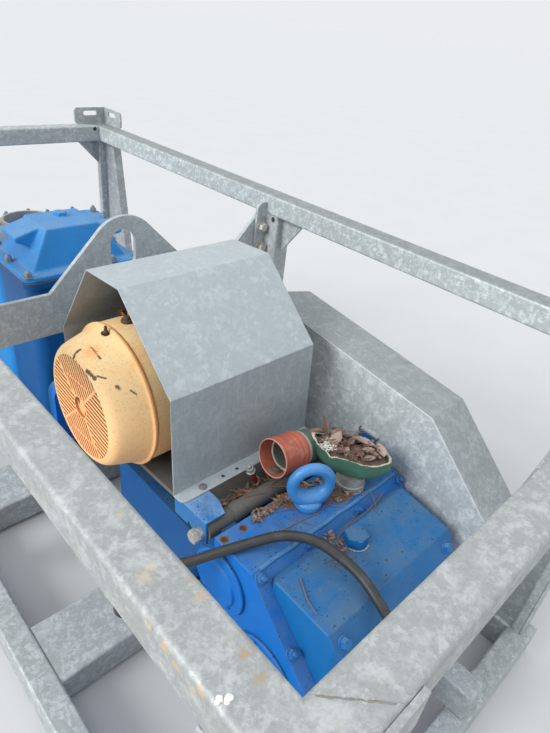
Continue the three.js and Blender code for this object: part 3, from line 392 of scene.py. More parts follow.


# Finishes by material slot
LOOKS = {
    "galvanised": {
        "rail": galvanised("zinc_rail", (0.34, 0.36, 0.36), 1.0, 0.5, 90, stains=0.4, spots=RAIL_STAINS),
        "frame": galvanised("zinc_frame", (0.36, 0.39, 0.4), 2.0, 0.7, 70, clouds=0.7, stains=0.12),
        # top paints light and shade on faces that look up: a painted reflection of dark trees on the far
        # rail, painted shade on the guard, a painted highlight on the hood.
        "far_rail": galvanised("zinc_far_rail", (0.4, 0.44, 0.45), 2.5, 0.9, 70, top=0.37),
        "hood": galvanised("zinc_hood", (0.33, 0.37, 0.39), 3.0, 0.85, 52, clouds=0.4, stains=0.08,
                           streaks=0.25, sheltered=True, top=1.26),
        "guard": galvanised("zinc_guard", (0.42, 0.46, 0.48), 4.0, 0.7, 56, streaks=0.3, top=0.42),
        "lift": galvanised("zinc_plate", (0.36, 0.4, 0.42), 5.0, 0.55, 80, clouds=0.4, stains=0.1,
                           streaks=0.35),
        "zinc_bolt": plain("zinc_fastener", (0.5, 0.5, 0.47), 15.0, 0.42, 0.7, dirt=(0.22, 0.18, 0.12),
                           soiled=0.5),
        "worn_bolt": plain("worn_fastener", (0.2, 0.25, 0.31), 43.0, 0.5, 0.4, dirt=(0.03, 0.12, 0.3),
                           soiled=0.7),
        "weathered_bolt": plain("weathered_bolt", (0.17, 0.17, 0.16), 46.0, 0.6, 0.3,
                                dirt=(0.12, 0.09, 0.06), soiled=0.5),
        "zinc_seam": plain("zinc_seam", (0.5, 0.53, 0.54), 39.0, dirt=(0.3, 0.3, 0.29)),
        "weld": plain("weld_seam", (0.2, 0.2, 0.19), 40.0, 0.6, dirt=(0.26, 0.17, 0.1), soiled=0.6),
        "lime": plain("lime_spots", (0.75, 0.74, 0.7), 22.0, 0.8, dirt=(0.5, 0.48, 0.42)),
        "lichen": plain("lichen", (0.62, 0.63, 0.56), 32.0, 0.9),
    },
    "blue": {
        "blue": paint("blue_casting", (0.004, 0.125, 0.46), (0.085, 0.18, 0.32), 6.0),
        "blue_bed": paint("blue_bed", (0.005, 0.072, 0.235), (0.045, 0.105, 0.19), 6.5),
        "blue_cover": paint("blue_cover", (0.007, 0.125, 0.36), (0.075, 0.155, 0.26), 7.0, 0.85),
        "blue_lid": paint("blue_lid", (0.028, 0.235, 0.6), (0.17, 0.27, 0.38), 8.0, 0.7, 0.5),
        "blue_chest": paint("blue_chest", (0.005, 0.085, 0.27), (0.09, 0.19, 0.33), 8.5, 0.6, 0.5),
        "blue_arm": paint("blue_arm", (0.03, 0.15, 0.38), (0.19, 0.32, 0.52), 9.0, 0.85, 1.4, 0.7, 0.45),
        "blue_eye": paint("blue_eye", (0.045, 0.23, 0.56), (0.15, 0.32, 0.6), 10.0, 0.5, 0.3, rough=0.26,
                          gloss=0.5),
        "blue_deep": paint("blue_deep", (0.008, 0.1, 0.29), (0.05, 0.14, 0.28), 25.0, 0.5),
        "blue_bolt": paint("blue_bolt", (0.01, 0.12, 0.38), (0.09, 0.19, 0.33), 26.0, 0.8, rust=0.25),
        # Dust and painted highlight: a paler, dustier blue for the bright line along the split ridge.
        "blue_dust_and_highlight": paint("blue_dust_and_highlight", (0.03, 0.16, 0.4), (0.12, 0.24, 0.4), 45.0, 0.8),
        "sealant": plain("sealant", (0.42, 0.47, 0.5), 33.0),
    },
    "amber": {
        "amber": moulded("cowl_plastic", (1.0, 0.7, 0.36), (0.95, 0.46, 0.18), 11.0, MARKS),
        "amber_slats": moulded("cowl_slats", (0.95, 0.56, 0.25), (0.85, 0.33, 0.12), 12.0),
        # Painted shade: a darker copy of the slat colour for the flanks of the grille's bars and the hub's
        # wall.
        "amber_shade": plain("cowl_slat_flanks_painted_shade", (0.38, 0.15, 0.055), 44.0, 0.8),
        "slot_shade": plain("cowl_slot_shade", (0.1, 0.04, 0.016), 38.0, 0.8),
        "leaf_orange": plain("leaf_orange", (0.33, 0.16, 0.07), 27.0, 0.7, dirt=(0.1, 0.05, 0.03)),
    },
    "cast_iron": {
        "iron": plain("cast_iron", (0.13, 0.13, 0.12), 13.0, 0.7, 0.3, soiled=0.5),
        "rust": plain("rust", (0.16, 0.06, 0.025), 20.0, 0.9, dirt=(0.05, 0.03, 0.02), soiled=0.6),
        # Painted shade: a near black finish for the shade inside holes, gaps and recesses.
        "dark": plain("painted_shade_inside", (0.03, 0.028, 0.025), 21.0, 0.9),
        "old_bolt": plain("old_fastener", (0.11, 0.08, 0.06), 23.0, 0.75, 0.3, dirt=(0.05, 0.035, 0.03),
                          soiled=0.7),
        "leaf_brown": plain("leaf_brown", (0.2, 0.135, 0.112), 28.0, 0.8, variation=0.5,
                            dirt=(0.06, 0.04, 0.03)),
        "leaf_pale": plain("leaf_pale", (0.34, 0.26, 0.225), 29.0, 0.8, variation=0.4,
                           dirt=(0.2, 0.14, 0.1)),
        "needle": plain("pine_needle", (0.2, 0.105, 0.06), 30.0, 0.6, variation=0.5),
        "mould": plain("leaf_mould", (0.13, 0.09, 0.07), 31.0, 0.95, variation=0.6,
                       dirt=(0.25, 0.17, 0.11), grain=320, bump=1.0),
        "gasket": plain("gasket", (0.2, 0.12, 0.07), 37.0, 0.8),
    },
    "steel": {
        "steel": plain("dull_steel", (0.36, 0.36, 0.35), 14.0, 0.5, 0.35, dirt=(0.2, 0.17, 0.13)),
    },
    "red": {
        "red": plain("faded_red", (0.4, 0.095, 0.06), 16.0, 0.6, dirt=(0.42, 0.27, 0.2), soiled=0.6),
        "red_stud": plain("red_stud", (0.24, 0.035, 0.02), 34.0, 0.6),
        "pale_red": plain("pale_red", (0.52, 0.25, 0.2), 35.0, 0.7, dirt=(0.4, 0.2, 0.15)),
    },
    "green": {
        "green": plain("chalky_green", (0.055, 0.15, 0.1), 17.0, dirt=(0.13, 0.24, 0.17), soiled=0.6),
        "green_inside": plain("green_inside", (0.1, 0.13, 0.11), 36.0, 0.7, dirt=(0.16, 0.11, 0.08),
                              soiled=0.6),
        "torn": plain("torn_edge", (0.5, 0.45, 0.37), 18.0, 0.85, dirt=(0.32, 0.22, 0.16), grain=300,
                      bump=0.6),
        "bark": plain("torn_fabric", (0.16, 0.1, 0.075), 42.0, 0.9, variation=0.4, grain=260, bump=0.9),
        "chalk": plain("chalky_ring", (0.36, 0.34, 0.29), 41.0, 0.8),
    },
    "rubber": {
        "rubber": plain("cable_jacket", (0.028, 0.028, 0.03), 19.0, 0.42, dirt=(0.1, 0.1, 0.1),
                        soiled=0.25, grain=90, bump=0.12),
    },
}
FINISH = {finish: look for looks in LOOKS.values() for finish, look in looks.items()}
SLOT = {finish: slot for slot, looks in LOOKS.items() for finish in looks}

# The finish of each CAD solid that isn't plain frame
CAD_FINISH = {node: finish for finish, nodes in (
    ("rail", "top_rail_left top_rail_front"), ("far_rail", "top_rail_right"), ("lift", "lifting_plate"),
    ("hood", "rain_hood"), ("guard", "belt_guard"), ("amber", "fan_cowl"),
    ("iron", "motor_body motor_plate hinge_tube"), ("blue_arm", "hinge_arm_left hinge_arm_right"),
    ("blue", "crankcase bearing_cover crank_cover cylinder"), ("blue_cover", "crankcase_cover"),
    ("blue_eye", "lifting_eye"), ("blue_bed", "pump_bed"), ("blue_chest", "valve_chest"),
    ("blue_lid", "valve_chest_lid rear_chest"), ("steel", "pipe_neck filler_neck"),
    ("green", "filler_bowl"), ("red", "inlet_sleeve"), ("rubber", "power_cable"),
) for node in nodes.split()}


# ---------------------------------------------------------------- mesh tools
def mm(x, y, z):
    return Vector((x, y, z)) * MM


def shift(x, y, z):
    return Matrix.Translation(mm(x, y, z))


def polar(radius, angle):
    """A point at a radius and an angle in degrees."""
    return Vector((radius * cos(radians(angle)), radius * sin(radians(angle))))


def lifted(point, rise):
    return point + Vector((0, 0, rise))


def piece(name, bm, finish, replaces=(), smooth=35):
    """Makes a bmesh into an object that rides on the root body."""
    mesh = bpy.data.meshes.new(name)
    bmesh.ops.recalc_face_normals(bm, faces=bm.faces)
    bm.to_mesh(mesh)
    bm.free()
    made = linked(name, mesh)
    mesh.materials.append(FINISH[finish])
    mesh.shade_smooth()
    mesh.set_sharp_from_angle(angle=radians(smooth))
    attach(made, "root")
    if replaces:
        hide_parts(*replaces)
    return made


def bridge(bm, loops, cap=True):
    """Faces between each closed loop of vertices and the next, and over the first and the last."""
    for low, high in zip(loops, loops[1:]):
        for i in range(len(low)):
            j = (i + 1) % len(low)
            bm.faces.new((low[i], low[j], high[j], high[i]))
    if cap:
        bm.faces.new(list(reversed(loops[0])))
        bm.faces.new(loops[-1])


def knit(bm, grid):
    """Faces over a grid of vertices that closes on itself both ways."""
    for row, ahead in zip(grid, grid[1:] + grid[:1]):
        for i in range(len(row)):
            j = (i + 1) % len(row)
            bm.faces.new((row[i], ahead[i], ahead[j], row[j]))


def rings(bm, profile, sides, matrix, turn=0.0, cap=True):
    """A turned solid: (radius, height) pairs in millimetres along the matrix's Z axis."""
    loops = []
    for radius, height in profile:
        angles = [turn + 2 * pi * i / sides for i in range(sides)]
        loops.append([bm.verts.new(matrix @ mm(radius * cos(angle), radius * sin(angle), height))
                      for angle in angles])
    bridge(bm, loops, cap)


def turned(name, finish, profile, sides, matrix, replaces=(), smooth=50, cap=True):
    """A piece of one turned shape."""
    bm = bmesh.new()
    rings(bm, profile, sides, matrix, cap=cap)
    return piece(name, bm, finish, replaces, smooth)


def aim(at, axis):
    """A matrix whose Z axis points along axis, from a point in metres."""
    return Matrix.Translation(at) @ Vector(axis).to_track_quat("Z", "Y").to_matrix().to_4x4()


def hex_bolt(bm, at, axis, flats, high, washer=0.0, thick=2.5, turn=0.3, stud=0.0):
    """A hexagon head with a chamfer, on a round washer, with a stud end if it is a nut."""
    matrix = aim(at, axis)
    corner = flats / sqrt(3)
    base = 0.0
    if washer:
        rings(bm, [(washer, 0), (washer, thick - 0.6), (washer - 0.6, thick)], 28, matrix)
        base = thick
    rings(bm, [(corner, base), (corner, base + high * 0.82), (corner * 0.88, base + high)], 6, matrix, turn)
    if stud:
        top = base + high
        rings(bm, [(stud, top - 1), (stud, top + stud * 1.1), (stud * 0.8, top + stud * 1.4)], 16, matrix)


def bevelled(made, width, segments, angle=30):
    """Rounds a piece's edges; the width is in millimetres."""
    bevel = made.modifiers.new("edges", "BEVEL")
    bevel.width = width * MM
    bevel.segments = segments
    bevel.angle_limit = radians(angle)


def soften(node, width=0.0, finish=None):
    """A copy of a CAD solid with its edges rounded as a casting or a rolled section has them."""
    bm = bmesh.new()
    bm.from_mesh(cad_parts[node].data)
    bmesh.ops.remove_doubles(bm, verts=bm.verts, dist=2e-5)
    bmesh.ops.dissolve_limit(bm, angle_limit=radians(1.5), verts=bm.verts, edges=bm.edges)
    finish = finish or CAD_FINISH.get(node, "frame")
    made = piece(node + "_dressed", bm, finish, (node,), smooth=180 if width else 35)
    if width:
        bevelled(made, width, 3)
    made.modifiers.new("shading", "WEIGHTED_NORMAL").keep_sharp = True


def cast(node, voxel, passes):
    """A copy of a CAD solid whose edges and inner corners flow as in a sand casting."""
    bm = bmesh.new()
    bm.from_mesh(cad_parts[node].data)
    made = piece(node + "_cast", bm, CAD_FINISH[node], (node,), smooth=180)
    remesh = made.modifiers.new("remesh", "REMESH")
    remesh.voxel_size = voxel * MM
    remesh.use_smooth_shade = True
    smooth = made.modifiers.new("flow", "SMOOTH")
    smooth.factor = 0.5
    smooth.iterations = passes


def circle(a, b, radius):
    """A round outline in millimetres, of 20 sides."""
    angles = [2 * pi * i / 20 for i in range(20)]
    return [(a + radius * cos(angle), b + radius * sin(angle)) for angle in angles]


def plate(bm, outer, matrix, low, high, holes=()):
    """A flat plate with holes, between two levels of the matrix's Z axis."""
    loops = [[Vector((a, b, 0)) for a, b in loop] for loop in (outer, *holes)]
    flat = [point for loop in loops for point in loop]
    under = [bm.verts.new(matrix @ mm(point.x, point.y, low)) for point in flat]
    upper = [bm.verts.new(matrix @ mm(point.x, point.y, high)) for point in flat]
    for a, b, c in tessellate_polygon(loops):
        bm.faces.new((under[c], under[b], under[a]))
        bm.faces.new((upper[a], upper[b], upper[c]))
    start = 0
    for loop in loops:
        for i in range(len(loop)):
            here, there = start + i, start + (i + 1) % len(loop)
            bm.faces.new((under[here], under[there], upper[there], upper[here]))
        start += len(loop)


def block(bm, low, high, matrix=Matrix()):
    """A box between two corners in millimetres."""
    (x0, y0, z0), (x1, y1, z1) = low, high
    plate(bm, [(x0, y0), (x1, y0), (x1, y1), (x0, y1)], matrix, z0, z1)


def fillet(points, radius):
    """An open path with its inner corners rounded in five steps."""
    path = [Vector(points[0])]
    for before, corner, after in zip(points, points[1:], points[2:]):
        corner = Vector(corner)
        back = (Vector(before) - corner).normalized()
        ahead = (Vector(after) - corner).normalized()
        reach = radius / tan(back.angle(ahead) / 2)
        start, end = corner + back * reach, corner + ahead * reach
        for i in range(6):
            t = i / 5
            path.append(start * (1 - t) ** 2 + corner * 2 * t * (1 - t) + end * t * t)
    path.append(Vector(points[-1]))
    return path


def bent_sheet(bm, path, thick, matrix, low, high):
    """A folded sheet: an open path in the matrix's XY plane pushed along its Z axis."""
    sides = ([], [])
    for i, point in enumerate(path):
        into = (point - path[i - 1]).normalized() if i else (path[1] - point).normalized()
        out = (path[i + 1] - point).normalized() if i < len(path) - 1 else into
        normal = Vector((-(into + out).y, (into + out).x)).normalized()
        stretch = thick / 2 / max(0.5, normal.dot(Vector((-into.y, into.x))))
        for side, sign in zip(sides, (1, -1)):
            spot = point + normal * stretch * sign
            side.append([bm.verts.new(matrix @ mm(spot.x, spot.y, level)) for level in (low, high)])
    for i in range(len(path) - 1):
        for side in sides:
            bm.faces.new((side[i][0], side[i + 1][0], side[i + 1][1], side[i][1]))
        for level in (0, 1):
            bm.faces.new((sides[0][i][level], sides[0][i + 1][level],
                          sides[1][i + 1][level], sides[1][i][level]))
    for i in (0, -1):
        bm.faces.new((sides[0][i][0], sides[0][i][1], sides[1][i][1], sides[1][i][0]))


def tube(bm, points, radii, sides):
    """A tube through points in millimetres; radii is one radius or one for each point."""
    points = [Vector(point) for point in points]
    if not isinstance(radii, list):
        radii = [radii] * len(points)
    loops = []
    guide = Vector((0, 0, 1))
    if abs((points[1] - points[0]).normalized().z) > 0.9:
        guide = Vector((1, 0, 0))
    for i, point in enumerate(points):
        along = (points[min(i + 1, len(points) - 1)] - points[max(i - 1, 0)]).normalized()
        across = along.cross(guide).normalized()
        guide = across.cross(along).normalized()
        loops.append([bm.verts.new((point + (across * cos(2 * pi * k / sides)
                                             + guide * sin(2 * pi * k / sides)) * radii[i]) * MM)
                      for k in range(sides)])
    bridge(bm, loops)


def weld(bm, start, end, radius, seed):
    """A rippled weld bead, half sunk in the joint."""
    start, end = Vector(start), Vector(end)
    steps = max(3, int((end - start).length / 4))
    chance = random.Random(seed)
    points, radii = [], []
    for i in range(steps + 1):
        wander = Vector([chance.uniform(-0.5, 0.5) for _ in range(3)])
        points.append(start.lerp(end, i / steps) + wander)
        radii.append(radius * (0.85 + 0.3 * (i % 2) + chance.uniform(-0.1, 0.1)))
    tube(bm, points, radii, 7)


def closed_curve(points, count):
    """A smooth closed outline through points."""
    made = []
    total = len(points)
    for i in range(count):
        at = i * total / count
        k, t = int(at), at % 1
        a, b, c, d = (Vector(points[(k + j) % total]) for j in (-1, 0, 1, 2))
        made.append(0.5 * ((2 * b) + (c - a) * t + (2 * a - 5 * b + 4 * c - d) * t * t
                           + (3 * b - 3 * c + d - a) * t ** 3))
    return made


def heap(bm, centre, reach, high, turn, seed, rough, sides, levels):
    """A low heap of dirt: centre and size in millimetres."""
    centre = Vector(centre)
    spin = Matrix.Rotation(radians(turn), 3, "Z")
    loops = []
    for level in range(levels + 1):
        share = level / levels
        loop = []
        for k in range(sides):
            angle = 2 * pi * k / sides
            flat = spin @ Vector((reach[0] * cos(angle), reach[1] * sin(angle), 0)) * share
            wave = noise.noise((centre + flat) * 0.06 + Vector((seed, 0, 0)))
            fine = noise.noise((centre + flat) * 0.22 + Vector((0, seed, 0)))
            edge = 1 + 0.18 * noise.noise(Vector((cos(angle) * 2, sin(angle) * 2, seed)))
            rise = high * (1 - share ** 2) ** 0.8 * (1 + rough * (wave + fine)) if share < 1 else -1.0
            loop.append(bm.verts.new((centre + flat * edge + Vector((0, 0, rise))) * MM))
        loops.append(loop)
    bridge(bm, loops, cap=False)
    bmesh.ops.remove_doubles(bm, verts=loops[0], dist=1e-5)
    bm.faces.new(list(reversed(loops[-1])))


def leaf(bm, at, long, wide, turn, tilt, roll, curl, seed):
    """A dry curled leaf with a raised midrib, 0.7 mm thick."""
    chance = random.Random(seed)
    spin = (Matrix.Rotation(radians(turn), 3, "Z") @ Matrix.Rotation(radians(-tilt), 3, "Y")
            @ Matrix.Rotation(radians(roll), 3, "X"))
    rows, columns = 12, 7
    wave = chance.uniform(0, 6)
    sheets = []
    for side in (0, 1):
        grid = []
        for i in range(rows + 1):
            t = i / rows
            half = wide / 2 * max(0.06, sin(pi * t ** 0.85) ** 0.8)
            row = []
            for j in range(columns):
                u = j / (columns - 1) * 2 - 1
                bend = curl * long * 0.35 * (t - 0.5) ** 2 * 2
                cup = curl * half * 0.9 * abs(u) ** 1.6
                rib = 0.5 * cos(t * 42 + abs(u) * 4)
                ragged = 1 + 0.1 * sin(t * 31 + wave + j)
                spot = Vector((long * (t - 0.5), half * u * ragged * (1 - 0.25 * curl * abs(u)),
                               bend + cup + rib + (0.8 if j == columns // 2 else 0.0) - 0.7 * side))
                row.append(bm.verts.new((Vector(at) + spin @ spot) * MM))
            grid.append(row)
        sheets.append(grid)
    for grid in sheets:
        for i in range(rows):
            for j in range(columns - 1):
                bm.faces.new((grid[i][j], grid[i + 1][j], grid[i + 1][j + 1], grid[i][j + 1]))
    upper, under = sheets
    border = ([(i, 0) for i in range(rows)] + [(rows, j) for j in range(columns - 1)]
              + [(i, columns - 1) for i in range(rows, 0, -1)] + [(0, j) for j in range(columns - 1, 0, -1)])
    for (i, j), (k, m) in zip(border, border[1:] + border[:1]):
        bm.faces.new((upper[i][j], upper[k][m], under[k][m], under[i][j]))


def needle(bm, at, long, turn, rise, bow):
    """A dry pine needle, 1.5 mm thick."""
    radius = 0.75
    along = Vector((cos(radians(turn)), sin(radians(turn)), 0))
    across = Vector((-along.y, along.x, 0))
    points = []
    for i in range(7):
        t = i / 6
        side = across * bow * long * (0.25 - (t - 0.5) ** 2)
        points.append(Vector(at) + along * long * (t - 0.5) + side + Vector((0, 0, rise * t + radius)))
    tube(bm, points, [radius * 0.7] + [radius] * 5 + [radius * 0.4], 5)


def beaded(bm, lines, radius):
    for i, (start, end) in enumerate(lines):
        weld(bm, start, end, radius, i)


# ---------------------------------------------------------------- cable
def blend(a, b, start, end, at):
    """The point at a time between a at the start and b at the end."""
    return a * ((end - at) / (end - start)) + b * ((at - start) / (end - start))


def catmull(points, per_span):
    """A smooth open path through points, paced by the root of the distance between them."""
    padded = [points[0] * 2 - points[1]] + points + [points[-1] * 2 - points[-2]]
    made = []
    for p, q, r, t in zip(padded, padded[1:], padded[2:], padded[3:]):
        knots = [0.0]
        for one, two in ((p, q), (q, r), (r, t)):
            knots.append(knots[-1] + max(1e-6, (two - one).length) ** 0.5)
        t0, t1, t2, t3 = knots
        for i in range(per_span):
            u = t1 + (t2 - t1) * i / per_span
            one, two, three = blend(p, q, t0, t1, u), blend(q, r, t1, t2, u), blend(r, t, t2, t3, u)
            made.append(blend(blend(one, two, t0, t2, u), blend(two, three, t1, t3, u), t1, t2, u))
    made.append(points[-1])
    return made


def build_cable():
    path = catmull([Vector(point) for point in CABLE_ROUTE], 8)
    data = bpy.data.curves.new("cable", "CURVE")
    data.dimensions = "3D"
    data.bevel_depth = CABLE_RADIUS
    data.bevel_resolution = 5
    data.use_fill_caps = True
    spline = data.splines.new("POLY")
    spline.points.add(len(path) - 1)
    for point, at in zip(spline.points, path):
        point.co = (*at, 1)
    spline.use_smooth = True
    cable = linked("cable", data)
    data.materials.append(FINISH["rubber"])
    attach(cable, "root")
    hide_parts("power_cable")
    for name, end, ahead in (("relief_motor", path[0], (-1, 0, 0)), ("relief_case", path[-1], (0, -1, 0))):
        bm = bmesh.new()
        profile = [(16, 0.3), (16.4, 1.5), (16, 6), (14.6, 9), (15, 10)]
        for i in range(6):
            profile += [(14.4 - i * 0.55, 11.5 + i * 3), (14.4 - i * 0.55, 13 + i * 3),
                        (12.7 - i * 0.45, 13.6 + i * 3), (12.7 - i * 0.45, 14.4 + i * 3)]
        rings(bm, profile + [(10.4, 30), (10.2, 30.2)], 32, aim(end, ahead))
        piece(name, bm, "rubber")


# ---------------------------------------------------------------- frame
# Weld beads of one corner, mirrored to all four
CORNER_WELDS = [
    ((RAIL_IN, 1056, 908), (RAIL_IN, 1056, 952)), ((BRACE_X, 1064, 102), (BRACE_X, 1064, 904)),
    ((397, 1081, 905.5), (RAIL_IN, 1081, 905.5)), ((RAIL_IN, 1081, 820), (RAIL_IN, 1081, 904)),
    ((BRACE_X, 1002, 905.5), (BRACE_X, 1064, 905.5)), ((RAIL_IN, 1064, BASE_TOP), (BRACE_X, 1064, BASE_TOP)),
    ((BRACE_X, 874, BASE_TOP), (BRACE_X, 1060, BASE_TOP)), ((395, 1116, 910), (395, 1116, 960)),
]


def side_welds():
    """Weld beads of one side: mid post and gusset, cross beams, bearers and stacking bracket."""
    posts, beams, tops = (RAIL_UNDER, BASE_TOP), BASE_TOP + 1, RAIL_TOP + 1
    lines = [((RAIL_IN, y, z), (536, y, z)) for y in (-20, 40) for z in posts]
    lines += [((RAIL_IN, -20, z), (RAIL_IN, 40, z)) for z in posts]
    for x in (504, 515):
        lines += [((x, -103, RAIL_UNDER), (x, -22, RAIL_UNDER)), ((x, -20, 798), (x, -20, 904))]
    lines.append(((RAIL_IN, 30, 702), (RAIL_IN, 30, 940)))
    for ends in ((-447, -276), (139, 310)):
        lines += [((RAIL_IN, y, 20), (RAIL_IN, y, 96)) for y in ends]
        lines += [((x, ends[0] + 4, beams), (x, ends[1] - 4, beams)) for x in (160, 220)]
    for x in (160, 220):
        lines += [((x, y, beams), (x, y + 38, beams)) for y in (-1098, 1060)]
    lines += [((420, 1113, tops), (535, 1113, tops)), ((420, 1108, tops), (530, 1108, tops))]
    return lines + [((x, 998, tops), (x, y, tops)) for x, y in ((537, 1112), (532, 1106))]


def mirrored(lines, x, y=1):
    return [[(x * a, y * b, c) for a, b, c in line] for line in lines]


def build_frame():
    for node in ("mid_post_right", "mid_post_left", "lifting_plate"):
        soften(node, 1.2)
    for side in ("left", "right", "front", "rear"):
        soften("top_rail_" + side)
    for corner in ("rear_right", "rear_left", "front_right", "front_left"):
        soften("corner_post_" + corner)
    beads, seams = bmesh.new(), bmesh.new()
    lines, mitres = [], []
    for x in (-1, 1):
        for y in (-1, 1):
            mitres += mirrored([((428, 1110.5, 965.4), (474, 1063, 965.4))], x, y)
            lines += mirrored(CORNER_WELDS, x, y)
        lines += mirrored(side_welds(), x)
    beaded(beads, lines, 1.8)
    beaded(seams, mitres, 1.0)
    piece("frame_welds", beads, "frame", smooth=60)
    piece("mitre_seams", seams, "weld", smooth=60)

    bolts = bmesh.new()
    for x in (-1, 1):
        for across, up in ((463, 868), (466, 804)):
            hex_bolt(bolts, mm(x * across, 31, up), (0, -1, 0), 24, 14, washer=19, thick=3)
            hex_bolt(bolts, mm(x * across, 52, up), (0, 1, 0), 24, 16, washer=19, thick=3, stud=7)
    piece("lift_bolts", bolts, "zinc_bolt")

    # Near black discs in the vent holes: painted shade inside the holes.
    vents = bmesh.new()
    for side in (1, -1):
        for at, axis in ((mm(side * RAIL_IN, -1, 896.5), (-side, 0, 0)),
                         (mm(side * 460.6, 1056, 955), (0, -1, 0))):
            rings(vents, [(7.5, -1), (7.5, 0.25), (7.1, 0.4)], 24, aim(at, axis))
    piece("vent_hole_shade", vents, "dark")

    stain = bmesh.new()
    chance = random.Random(5)
    made = 0
    for x, y, count, reach in ((-528.5, -1020, 5, 3.4), (-533, -1018, 4, 3), (-538, -1017, 3, 3)):
        for _ in range(count):
            made += 1
            angle, away = chance.uniform(0, 6.3), reach * chance.random()
            size = chance.uniform(1.2, 2.8)
            at = mm(x + away * cos(angle), y + away * sin(angle), RAIL_TOP + 0.05 * made)
            rings(stain, [(size, -0.3), (size, 0.25), (size * 0.6, 0.6)], 11, Matrix.Translation(at))
    piece("rail_droppings", stain, "lime")


# ---------------------------------------------------------------- rain hood
# The hood's ends along X, and the radius of its lips' outer corners
HOOD_ENDS = (-224, 159)
LIP_CORNER = 14


def build_hood():
    level = MOTOR @ shift(0, MOTOR_Y, MOTOR_Z)
    left, right = HOOD_ENDS
    bm = bmesh.new()
    path = [(-242, -118.5), (-233.5, -118.5), (-233.5, 110.4), (-71.4, 275.5), (52.4, 275.5),
            (204.5, 90.4), (204.5, -118.5), (213, -118.5)]
    bent_sheet(bm, fillet(path, 3.6), 3, level @ ALONG_X, left, right)
    for near, far, step in ((-242, -265, -1), (213, 236, 1)):
        inset = far - step * LIP_CORNER
        outer = [(left, near), (right, near), (right, inset)]
        outer += [(right - LIP_CORNER + LIP_CORNER * cos(a), inset + step * LIP_CORNER * sin(a))
                  for a in (0.4, 0.8, 1.2)]
        outer += [(right - LIP_CORNER, far), (left + LIP_CORNER, far)]
        outer += [(left + LIP_CORNER - LIP_CORNER * sin(a), inset + step * LIP_CORNER * cos(a))
                  for a in (0.4, 0.8, 1.2)]
        outer += [(left, inset)]
        holes = [circle(x, near + step * 8, 4.5) for x in (-108, -70)]
        plate(bm, outer, level, -120, -117, holes)
    bevelled(piece("rain_hood_sheet", bm, "hood", ("rain_hood",), smooth=40), 0.8, 2, 60)
    bolts = bmesh.new()
    for x in (-163, 140):
        for y in (-251, 222):
            rings(bolts, [(9, -0.4), (9, 1.4), (8, 3.2), (5, 4.4), (2, 4.7)], 26, level @ shift(x, y, -117))
    piece("hood_bolts", bolts, "weathered_bolt")


# ---------------------------------------------------------------- fan cowl with its slotted grille
# The grille in millimetres: its radii, the slots' pitch and width, and the level of the bars' backs
GRILLE_RIM = 117
GRILLE_HUB = 26
SLOT_PITCH = 11
SLOT_WIDTH = 5.6
GRILLE_BACK = 7.8

# Quadrants of the grille: start, end and direction of the slots in degrees
QUADRANTS = [(45, 135, -115), (135, 235, -170), (235, 320, -115), (320, 405, -170)]

# Radius of the cowl's rear part
COWL_REAR = 161


def grille_bar(bm, flanks, place, start, end, half, top):
    """A bar with a chamfered crown; its flanks go in the second mesh, in a darker finish as painted shade
    for the slots.
    """
    along = (end - start).normalized()
    side = Vector((-along.y, along.x)) * half
    corners = [start + side, start - side, end - side, end + side]
    crown = [start + side * 0.55, start - side * 0.55, end - side * 0.55, end + side * 0.55]
    under = [flanks.verts.new(place @ mm(c.x, c.y, GRILLE_BACK)) for c in corners]
    shoulder = [flanks.verts.new(place @ mm(c.x, c.y, top + 0.9)) for c in corners]
    upper = [bm.verts.new(place @ mm(c.x, c.y, top + 0.9)) for c in corners]
    ridge = [bm.verts.new(place @ mm(c.x, c.y, top)) for c in crown]
    bridge(flanks, [under, shoulder], cap=False)
    bridge(bm, [upper, ridge], cap=False)
    bm.faces.new(ridge)
    flanks.faces.new(list(reversed(under)))


def slot_runs(start, end, direction):
    """The bars of a quadrant, each from its first to its last point inside it."""
    inner, hub = GRILLE_RIM - 0.6, GRILLE_HUB + 1.5
    along = polar(1, direction)
    across = Vector((-along.y, along.x))
    for k in range(-11, 11):
        run = []
        for step in range(-118, 119):
            spot = along * step + across * (k + 0.5) * SLOT_PITCH
            angle = degrees(atan2(spot.y, spot.x)) % 360
            angle += 360 if angle < start else 0
            inside = hub < spot.length < inner and start + 1 < angle < end - 1
            if inside:
                run.append(spot)
            if run and (not inside or step == 118):
                if len(run) > 3:
                    yield run[0], run[-1]
                run = []


